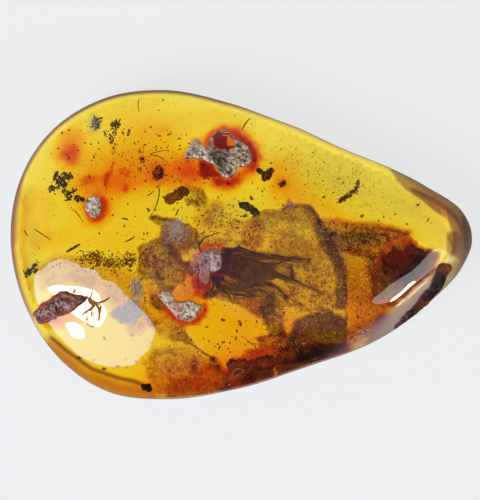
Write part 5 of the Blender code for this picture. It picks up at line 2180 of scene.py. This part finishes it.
CLOUDS = (
    StainCloud("smoke_stain", Stain.SMOKE, (
        spot(103, 73, 7.8, 3.0, 0.26, -25), spot(8, 30, 6.0, 1.6, 0.1), spot(166, 45, 2.6, 2.0, 0.12, -30),
        spot(-216, -33, 1.2, 2.8, 0.3), Streak(tenths(-212, 55, -214, 30, -208, 5), 0.6, 0.14),
    ), 2.2, sheet=Sheet(step=0.4), least=0.01),
    StainCloud("gold_stain", Stain.GOLD, (
        Patch(tenths(-220, 59, -192, 53, -184, 39, -192, 19, -188, 3, -208, -7, -222, 9), 0.35, 0.3),
        Patch(tenths(
            -158, 137, -142, 141, -82, 153, -74, 141, -112, 129, -130, 117, -146, 123,
        ), 0.25, 0.3),
        Patch(tenths(-188, 95, -180, 117, -164, 129, -154, 123, -172, 113, -176, 85, -186, 73), 0.25, 0.3),
        Patch(tenths(-182, 5, -146, 13, -102, 13, -92, 5, -122, -3, -162, -5), 0.12, 0.3),
        spot(8, -55, 13.0, 6.0, 0.9, -8), spot(-122, 75, 7.0, 4.5, 0.5, 20), spot(58, -5, 7.0, 4.0, 0.4),
        spot(-42, -125, 9.0, 2.8, 1.2, 8), spot(-157, -120, 4.0, 2.0, 0.4, -40),
        spot(-92, 113, 3.0, 1.6, 0.8), spot(-24, 127, 3.4, 0.9, 0.35, -4),
        spot(-190, 5, 2.2, 0.9, 0.5, 24), spot(80, 37, 4.0, 0.8, 0.45, -20), spot(48, -80, 1.4, 1.2, 0.9),
    ), 3.0),
    StainCloud("orange_stain", Stain.ORANGE, (
        spot(-172, 95, 1.3, 1.5, 1.2), spot(-168, 109, 1.2, 0.9, 0.5), spot(-130, 63, 3.4, 1.3, 1.5, 5),
        spot(-122, 85, 3.4, 1.4, 0.7, 5), spot(-70, 73, 3.0, 1.5, 1.3, -5), spot(-52, 71, 1.6, 1.0, 1.0),
        spot(40, 60, 1.7, 1.3, 0.8, -30), spot(40, 79, 1.8, 1.3, 0.45), spot(64, 51, 2.6, 1.6, 0.3, -20),
        spot(-147, 40, 1.7, 1.5, 0.7), spot(-117, 57, 1.2, 1.0, 0.5), spot(-62, -55, 3.0, 2.2, 0.5, 30),
        spot(-37, -133, 6.0, 1.5, 1.0, 12), spot(120, -70, 1.8, 3.2, 0.7),
        spot(20, -107, 4.0, 1.4, 0.6, 20), spot(153, -17, 2.6, 2.4, 0.3), spot(138, 15, 3.4, 0.7, 0.6, -8),
        Streak(tenths(-218, 50, -219, -5, -212, -55), 0.4, 0.5), spot(115, -40, 1.2, 2.6, 0.5),
        spot(-182, -75, 2.0, 0.8, 0.9, 10), spot(-80, 117, 0.6, 0.5, 0.3), spot(0, -79, 3.6, 2.2, 0.3, 20),
    ), 4.1),
    StainCloud("red_stain", Stain.RED, (
        spot(-172, 91, 0.7, 0.8, 0.9), spot(-49, -33, 0.9, 1.2, 0.6), spot(-80, -70, 1.2, 0.5, 0.3),
        spot(-117, 55, 0.4, 0.4, 0.9), spot(-154, 65, 0.9, 0.4, 0.7, 10), spot(-135, 69, 0.4, 0.5, 0.8),
        Streak(tenths(-123, 75, -117, 77, -113, 72, -117, 67, -122, 70), 0.16, 0.5),
        spot(-117, 73, 0.4, 0.3, 0.3), Streak(tenths(-128, 82, -136, 69, -136, 55), 0.16, 0.9),
        spot(-84, 72, 0.9, 1.0, 0.6), spot(41, 60, 0.5, 0.5, 0.6), spot(-100, 86, 0.25, 0.3, 0.7),
        spot(-48, 69, 1.2, 0.9, 0.25), spot(-52, 57, 1.4, 0.4, 0.3, -8),
    ), 5.2),
    StainCloud("halo_orange", Stain.ORANGE, (
        Patch(TOP_OUTLINE, 0.7, 0.8, 0.3),
        Streak(tenths(-6, 113, 6, 104, 14, 90, 11, 77, 0, 68, -14, 60, -28, 62), 0.7, 1.2),
        Streak(tenths(-37, 98, -34, 109, -20, 117, -6, 113), 0.45, 0.9), spot(-50, 77, 1.5, 1.0, 1.0),
        Patch(LEFT_OUTLINE, 1.2, 0.7, 0.4), spot(-138, 39, 0.7, 1.2, 1.0), spot(-148, 23, 1.0, 0.6, 0.7),
        Patch(LOWER_OUTLINE, 0.6, 0.6, 0.4), Patch(CENTRE_OUTLINE, 0.6, 0.6, 0.4),
        Patch(LOG_OUTLINE, 0.5, 0.5, 0.1), Streak(tenths(-204, -81, -196, -80, -186, -76), 0.4, 0.7),
    ), 1.3, sheet=Sheet(step=0.16), drape=True, grain=0.8, ragged=0.3),
    StainCloud("halo_red", Stain.RED, (
        Streak(tenths(-36, 97, -34, 107, -28, 114, -17, 116.4, -7, 111), 0.3, 0.7),
        spot(-18, 101, 1.0, 0.9, 1.0), Streak(tenths(-7, 111, 2, 105, 10, 97, 13, 88, 11, 79), 0.5, 1.1),
        Streak(tenths(10, 78, 3, 73, -3, 69, -6, 64), 0.4, 0.5),
        Streak(tenths(-8, 64, -17, 61, -26, 63), 0.45, 1.0),
        Streak(tenths(-139, 46, -136.5, 39, -139, 30, -145, 25, -153, 29, -156, 36), 0.24, 0.9),
        Streak(tenths(-74, -65, -67, -73, -57, -78, -47, -77, -40, -70, -37, -63), 0.34, 1.3),
        spot(-76, -56, 0.5, 0.5, 0.3), Streak(tenths(-43, -8, -34, -1, -24, 0, -18, -7), 0.34, 0.9),
        Patch(tenths(-50, -11, -42, -9, -41, -39, -49, -37), 0.9, 0.4),
        Patch(tenths(-50, -35, -32, -35, -30, -45, -39, -55, -48, -51), 0.9, 0.5),
        spot(-56, -47, 0.8, 0.5, 0.4), Streak(tenths(-16, -9, -16, -21, -19, -28), 0.3, 0.5),
    ), 1.0, sheet=Sheet(step=0.12), drape=True, grain=0.7, ragged=0.25),
    StainCloud("halo_maroon", Stain.MAROON, (
        Patch(tenths(-42, 85, -36, 84, -29, 78, -24, 73, -21, 67, -29, 68, -38, 65, -44, 73), 1.0, 0.6),
        Patch(tenths(-28, 108, -20, 111, -13, 109, -16, 101, -8, 98, -10, 93, -24, 93, -29, 99), 1.3, 0.3),
        Streak(tenths(-2, 108, 6, 101, 11, 93, 12, 85), 0.3, 0.6),
        Patch(tenths(-28, 65, -10, 65, -11, 60, -26, 60), 0.4, 0.3),
        Patch(tenths(-4, 104, 8, 96, 14, 87, 11, 83, 4, 97), 0.5, 0.3),
        Patch(tenths(-48, -16, -42, -15, -42, -27, -47, -26), 1.4, 0.15), spot(-41, -41, 0.7, 0.5, 0.6),
        Patch(tenths(-32, -27, -19, -26, -18, -36, -30, -36), 0.7, 0.3),
    ), 0.8, sheet=Sheet(step=0.1), drape=True, grain=0.45, ragged=0.28),
)
DOTS = (
    ((-14.75, 8.78), 0.16), ((-14.25, 9.57), 0.12), ((-15.05, 10.07), 0.13), ((-11.85, 11.18), 0.18),
    ((-11.65, 10.57), 0.1), ((-11.35, 9.28), 0.1), ((-10.95, 8.68), 0.1), ((-9.95, 8.57), 0.26),
    ((-7.85, 14.47), 0.12), ((-9.35, 3.48), 0.2), ((-12.85, 2.98), 0.12), ((8.25, 4.78), 0.18),
    ((17.65, 3.98), 0.2), ((16.55, 2.08), 0.14), ((12.05, 2.88), 0.22), ((14.25, 2.77), 0.12),
    ((-1.85, -7.53), 0.22), ((-0.15, -7.83), 0.28), ((-0.45, -8.62), 0.18), ((-3.45, -8.22), 0.15),
    ((-2.35, -9.93), 0.15), ((-1.85, -9.72), 0.18), ((-3.25, -9.62), 0.12), ((-1.15, -10.72), 0.15),
    ((0.45, -7.62), 0.1), ((4.25, -6.83), 0.14), ((5.8, -5.83), 0.16), ((11.05, -9.22), 0.18),
    ((11.65, -7.22), 0.2), ((0.35, 2.88), 0.26), ((-1.35, 3.98), 0.12), ((-0.85, 3.88), 0.1),
    ((0.95, 4.67), 0.24), ((2.95, 8.18), 0.13), ((-6.95, 4.47), 0.12), ((-13.75, -12.43), 0.24),
    ((-12.45, -12.12), 0.14), ((-10.55, -11.72), 0.12), ((-13.75, -9.32), 0.16), ((-7.15, -12.62), 0.15),
    ((-4.15, -11.12), 0.1), ((-8.35, -12.12), 0.09), ((-16.25, -11.32), 0.22), ((-4.75, 9.97), 0.12),
    ((-17.25, 11.47), 0.12), ((-13.75, 11.38), 0.1), ((-17.95, 11.18), 0.14), ((-18.65, 5.08), 0.13),
    ((-13.55, 10.78), 0.09), ((-9.05, 11.78), 0.14), ((-9.65, 9.97), 0.15), ((-8.15, 10.88), 0.14),
    ((-7.45, 9.78), 0.1), ((4.15, 3.98), 0.15),
)
DARK_DUST = Specks(
    "dark_dust", "bark", Dusty(dark=(0.2, 0.085, 0.034), pale=(0.6, 0.3, 0.12), clear=0.55),
    (
        (spot(-127, 80, 7.0, 5.5, 1), 330), (spot(-42, 55, 6.0, 4.0, 1), 220),
        (spot(98, 60, 6.0, 3.0, 1, -25), 60), (spot(-12, 20, 4.0, 2.2, 1), 300),
        (spot(-77, -30, 4.0, 3.0, 1), 200), (spot(-134, -17, 3.4, 0.8, 1), 320),
        (spot(-2, -95, 6.0, 2.5, 1), 110), (spot(78, -45, 5.0, 5.0, 1), 320),
        (spot(-132, -65, 6.0, 5.0, 1), 90), (spot(-2, 45, 20.0, 11.0, 1), 260),
        (spot(48, -105, 5.0, 1.2, 1), 160), (Streak(tenths(-134, 113, -129, 105, -128, 97), 0.4, 1), 70),
        (Streak(tenths(-99, -5, -114, -10, -108, -23), 0.4, 1), 60), (spot(-90, 87, 2.6, 1.8, 1), 160),
    ),
    size=(0.04, 0.22),
)
FINE_DUST = Specks(
    "fine_dust", "bark", Dusty(dark=(0.24, 0.105, 0.04), pale=(0.7, 0.37, 0.14), clear=0.6),
    (
        (spot(98, 63, 6.0, 2.6, 1, -25), 1300), (spot(-42, 95, 12.0, 5.0, 1), 500),
        (spot(-22, -25, 16.0, 9.0, 1), 700), (spot(-134, -17, 3.4, 0.9, 1), 500),
        (spot(-87, 75, 2.6, 2.0, 1), 200), (spot(-167, 55, 2.2, 1.4, 1, -30), 200),
    ),
    size=(0.03, 0.1), flat=0.5, dots=DOTS,
)
GOLD_DUST = Specks(
    "gold_glitter", "film", Dusty(dark=(0.75, 0.66, 0.25), pale=(1.0, 1.0, 0.6), roughness=0.3),
    (
        (spot(48, 15, 2.0, 0.5, 1), 130), (spot(58, -25, 3.0, 3.0, 1), 50),
        (spot(-14, 20, 1.4, 1.0, 1), 60), (spot(28, -55, 1.8, 1.2, 1), 60),
        (spot(-77, -23, 2.4, 1.6, 1), 50), (spot(78, 0, 1.2, 1.2, 1), 30),
        (spot(68, -90, 3.0, 1.4, 1), 40), (spot(-67, -105, 2.6, 1.6, 1), 30),
        (spot(-2, 0, 1.4, 0.6, 1), 40),
    ),
    size=(0.03, 0.09), heights=(4.68, 5.0), flat=0.3,
)
GOLD_STREAKS = Specks(
    "gold_streaks", "film", Dusty(dark=(0.85, 0.8, 0.4), pale=(1.0, 1.0, 0.7), roughness=0.3),
    (
        (spot(46, 16, 2.0, 0.45, 1, -6), 150), (spot(-14, 21, 1.3, 0.8, 1, -30), 110),
        (spot(58, 7, 1.6, 0.8, 1), 60), (spot(20, 15, 1.0, 1.0, 1), 40), (spot(58, -30, 2.6, 2.6, 1), 90),
        (spot(20, -45, 2.4, 0.5, 1), 70), (spot(33, -60, 1.2, 1.4, 1), 50),
        (spot(113, -35, 1.4, 2.4, 1), 50), (spot(-72, -20, 2.0, 1.6, 1), 50),
        (spot(2, -3, 2.2, 0.4, 1, -8), 50),
    ),
    size=(0.025, 0.06), heights=(4.75, 5.2), flat=0.5, long=(3.0, 13.0), aim=(-14.0, 28.0),
)
FILM_STREAKS = Specks(
    "film_streaks", "bark", Dusty(dark=(0.26, 0.115, 0.06), pale=(0.6, 0.32, 0.16), clear=0.6),
    (
        (spot(48, 5, 3.4, 1.6, 1, -10), 260), (spot(58, -40, 3.4, 2.6, 1), 420),
        (spot(-14, 21, 1.8, 1.4, 1), 220), (spot(-2, -47, 3.0, 0.7, 1), 220),
        (spot(33, -67, 1.4, 1.8, 1), 240), (spot(116, -40, 1.4, 2.6, 1), 200),
        (spot(-77, -17, 2.0, 1.8, 1), 160), (spot(-67, -100, 2.8, 1.8, 1), 120),
        (spot(113, 7, 3.0, 0.8, 1), 160), (spot(-42, -10, 0.8, 2.0, 1), 120),
        (spot(123, -70, 1.0, 1.8, 1), 140),
    ),
    size=(0.03, 0.085), heights=(4.7, 5.3), flat=0.5, long=(1.5, 9.0), aim=(-20.0, 55.0),
)
SCRATCHES = Specks(
    "fine_streaks", "bark", Dusty(dark=(0.24, 0.105, 0.04), pale=(0.7, 0.37, 0.14), clear=0.6),
    (
        (spot(52, 90, 0.5, 1.1, 1), 26), (spot(73, 83, 0.5, 1.2, 1), 26), (spot(96, 76, 0.5, 1.0, 1), 22),
        (spot(118, 65, 1.6, 1.2, 1), 30), (spot(38, 95, 1.4, 1.2, 1), 16),
    ),
    size=(0.03, 0.06), heights=(5.0, 6.0), flat=0.5, long=(4.0, 16.0), aim=(58.0, 12.0),
)
DARK_THREADS = Threads(
    "dark_hairs", "bark", Dusty(dark=(0.16, 0.08, 0.034), pale=(0.4, 0.22, 0.1), clear=0.4),
    (
        (0.13, (-8.35, 6.08, 4.8), (-8.2, 5.28, 4.8), (-8.4, 4.28, 4.8), (-8.9, 3.08, 4.8)),
        (0.12, (-20.75, 1.57, 4.6), (-19.95, 1.07, 4.7), (-19.05, 0.47, 4.6)),
        (0.3, (-17.55, -0.72, 4.8), (-16.85, -0.33, 4.9), (-16.15, 0.07, 4.8)),
        (0.16, (-11.65, 0.28, 4.7), (-11.05, 0.57, 4.7), (-10.65, 0.88, 4.7)),
        (0.09, (-10.25, 14.68, 4.8), (-10.35, 13.97, 4.8), (-10.25, 13.28, 4.8)),
        (0.14, (0.05, 11.47, 5.2), (0.35, 12.07, 5.3), (0.85, 12.68, 5.3)),
        (0.28, (-11.4, 10.88, 5.0), (-11.25, 11.28, 5.0), (-11.25, 11.57, 5.0)),
        (0.16, (-12.55, 12.07, 4.7), (-12.25, 12.38, 4.7), (-12.1, 12.62, 4.7)),
        (0.1, (-16.95, 3.58, 4.7), (-16.45, 3.17, 4.7), (-15.85, 2.27, 4.7)),
        (0.12, (18.55, 2.27, 4.9), (18.75, 2.67, 4.9)), (0.18, (-11.95, 2.67, 4.7), (-11.35, 2.52, 4.7)),
        (0.16, (-21.85, -2.52, 4.6), (-21.65, -2.92, 4.6), (-21.35, -3.12, 4.6)),
        (0.14, (-21.75, 1.48, 4.6), (-21.55, 1.18, 4.6), (-21.35, 0.88, 4.6)),
        (0.12, (-9.45, 4.88, 4.7), (-9.15, 5.08, 4.7), (-8.75, 5.38, 4.7)),
        (0.1, (-7.65, 9.47, 4.9), (-9.15, 9.07, 4.9), (-8.15, 8.78, 4.9), (-7.35, 8.18, 4.9)),
        (0.14, (-6.65, 2.88, 4.7), (-6.45, 3.17, 4.7), (-6.35, 3.58, 4.7)),
        (0.2, (-7.85, 4.88, 4.8), (-7.55, 4.58, 4.8), (-7.85, 4.78, 4.8)),
    ),
)
PALE_THREADS = Threads("pale_hairs", "crust", Dusty(dark=(0.35, 0.22, 0.15), pale=(0.75, 0.58, 0.45)), (
    (0.07, (-3.35, -2.62, 7.2), (-3.2, -3.23, 7.2), (-3.1, -3.92, 7.0)),
    (0.07, (-4.9, -1.62, 7.6), (-4.92, -2.02, 7.6), (-4.88, -2.52, 7.6)),
    (0.06, (-1.95, -2.73, 6.7), (-1.75, -3.23, 6.8), (-1.45, -3.73, 6.7)),
    (0.05, (-1.35, -3.23, 6.7), (-1.05, -3.73, 6.7), (-0.75, -4.12, 6.6)),
    (0.05, (-0.75, -3.52, 6.7), (-0.45, -3.92, 6.7), (-0.15, -4.12, 6.6)),
    (0.05, (-0.15, -3.52, 6.6), (0.15, -3.83, 6.7), (0.45, -3.92, 6.6)),
    (0.05, (1.65, -3.62, 6.5), (2.05, -3.83, 6.5), (2.45, -4.12, 6.4)),
    (0.05, (0.45, -4.53, 6.3), (1.25, -4.33, 6.3), (2.05, -4.33, 6.2)),
    (0.05, (-1.65, -4.22, 6.3), (-1.35, -4.72, 6.3), (-0.95, -5.03, 6.2)),
    (0.05, (3.05, -2.12, 6.3), (3.75, -2.08, 6.3), (4.45, -1.88, 6.2)),
    (
        0.08, (5.95, -8.53, 8.0), (6.05, -7.83, 8.1), (6.35, -7.33, 8.1), (6.65, -7.53, 8.1),
        (6.35, -8.22, 8.0), (6.15, -8.62, 7.9),
    ),
    (
        0.05, (3.15, -7.12, 5.4), (2.85, -7.92, 5.4), (3.15, -8.72, 5.4), (3.85, -9.12, 5.4),
        (4.45, -9.72, 5.4),
    ),
    (0.05, (3.45, -8.93, 5.4), (3.05, -9.22, 5.4), (3.85, -9.22, 5.4)),
    (
        0.09, (-1.25, -14.03, 6.3), (-1.05, -13.32, 6.5), (-0.75, -12.62, 6.7), (-0.25, -12.43, 6.8),
        (0.25, -12.62, 6.8), (-0.35, -13.03, 6.6), (-0.95, -13.62, 6.3),
    ),
    (0.06, (9.95, -7.12, 5.4), (10.25, -7.42, 5.4), (10.45, -7.72, 5.4)),
    (0.05, (9.55, -5.53, 5.4), (9.75, -6.03, 5.4)), (0.05, (10.15, -3.73, 5.4), (9.75, -4.33, 5.4)),
    (0.05, (-3.75, 8.07, 8.7), (-3.55, 7.78, 8.7)),
    (0.05, (-2.75, 7.78, 8.8), (-2.25, 7.47, 8.8), (-2.35, 7.28, 8.8)),
    (0.05, (2.15, 7.78, 6.5), (2.25, 7.47, 6.5)),
    (0.1, (11.15, 1.38, 6.4), (11.35, 0.97, 6.4), (11.25, 0.47, 6.4), (11.05, -0.12, 6.4)),
    (0.05, (20.55, 0.88, 5.6), (20.85, 0.28, 5.6)),
    (0.06, (22.45, 0.57, 4.9), (22.65, 1.07, 4.9), (22.85, 1.38, 4.9)),
    (0.06, (4.75, 4.47, 5.2), (4.85, 3.98, 5.2), (5.25, 3.77, 5.2)),
))
ROOTLETS = Threads(
    "rootlets", "rust_crust", Dusty(dark=(0.1, 0.018, 0.006), pale=(0.3, 0.07, 0.022), roughness=0.5),
    (
        (0.3, (-15.65, -5.12, -0.05), (-15.25, -5.38, 0.1), (-14.85, -5.72, 0.14), (-14.35, -5.83, 0.1)),
        (0.24, (-14.45, -5.83, 0.1), (-13.95, -5.72, 0.1), (-13.65, -5.58, 0.12), (-13.25, -5.33, 0.2)),
        (0.26, (-14.65, -5.72, 0.1), (-14.35, -6.22, 0.12), (-14.2, -6.83, 0.1), (-14.3, -7.62, 0.05)),
        (0.22, (-14.45, -5.83, 0.1), (-15.05, -6.33, 0.12), (-15.55, -6.72, 0.08), (-16.05, -7.12, 0.02)),
        (0.18, (-15.45, -6.62, 0.08), (-15.45, -7.42, 0.05), (-15.35, -8.12, 0.02)),
        (0.12, (-15.15, -7.62, 0.03), (-14.85, -7.67, 0.06), (-14.55, -7.62, 0.03)),
        (0.12, (-15.25, -8.12, 0.03), (-14.95, -8.22, 0.06), (-14.65, -8.07, 0.03)),
        (0.26, (-14.95, -5.62, 0.1), (-14.85, -6.22, 0.14), (-15.15, -6.62, 0.08)),
        (0.16, (-16.95, -4.92, 0.3), (-16.8, -4.78, 0.3), (-16.65, -4.47, 0.35)),
        (0.14, (-15.15, -5.42, 0.1), (-15.05, -5.12, 0.1), (-14.95, -4.72, 0.15)),
        (0.14, (-15.05, -7.33, 0.04), (-14.95, -6.72, 0.08), (-14.75, -7.33, 0.04)),
        (0.2, (-15.35, -5.53, 0.05), (-15.05, -5.92, 0.1), (-14.55, -6.22, 0.1)),
        (0.16, (-14.25, -5.83, 0.1), (-14.05, -6.33, 0.08), (-14.15, -6.83, 0.03)),
    ),
    6, True,
)
GLINTS = Specks(
    "pale_bits", "crust", Dusty(dark=(0.6, 0.45, 0.38), pale=(0.95, 0.85, 0.75), roughness=0.4),
    (
        (spot(56, -100, 0.8, 1.0, 1), 26), (spot(18, -51, 4.0, 3.0, 1), 50),
        (spot(88, -5, 1.6, 2.0, 1), 34), (spot(-42, -85, 6.0, 4.0, 1), 40),
        (spot(118, 7, 1.6, 0.8, 1), 26), (spot(-42, 70, 1.4, 1.0, 1), 20),
        (spot(80, -69, 0.15, 0.15, 1), 4), (spot(95, -66, 0.15, 0.15, 1), 4),
        (spot(32.5, -114, 0.12, 0.12, 1), 5),
    ),
    size=(0.05, 0.15), heights=(6.2, 8.0), flat=0.4,
)
DUST = (DARK_DUST, FINE_DUST, GOLD_DUST, GOLD_STREAKS, FILM_STREAKS, SCRATCHES, GLINTS)
THREADS = (DARK_THREADS, PALE_THREADS, ROOTLETS)


def main() -> None:
    """Builds every piece in order and reports it."""
    logging.basicConfig(level=logging.INFO, format="%(message)s")
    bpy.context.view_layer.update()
    AmberDrop().build()
    PaintedRimSkin().build()
    for group in (CRUSTS, DEBRIS, (Myriapod(),), FILMS, CLOUDS, DUST, THREADS):
        for item in group:
            item.build()
    Studio().build()


if __name__ == "__main__":
    main()
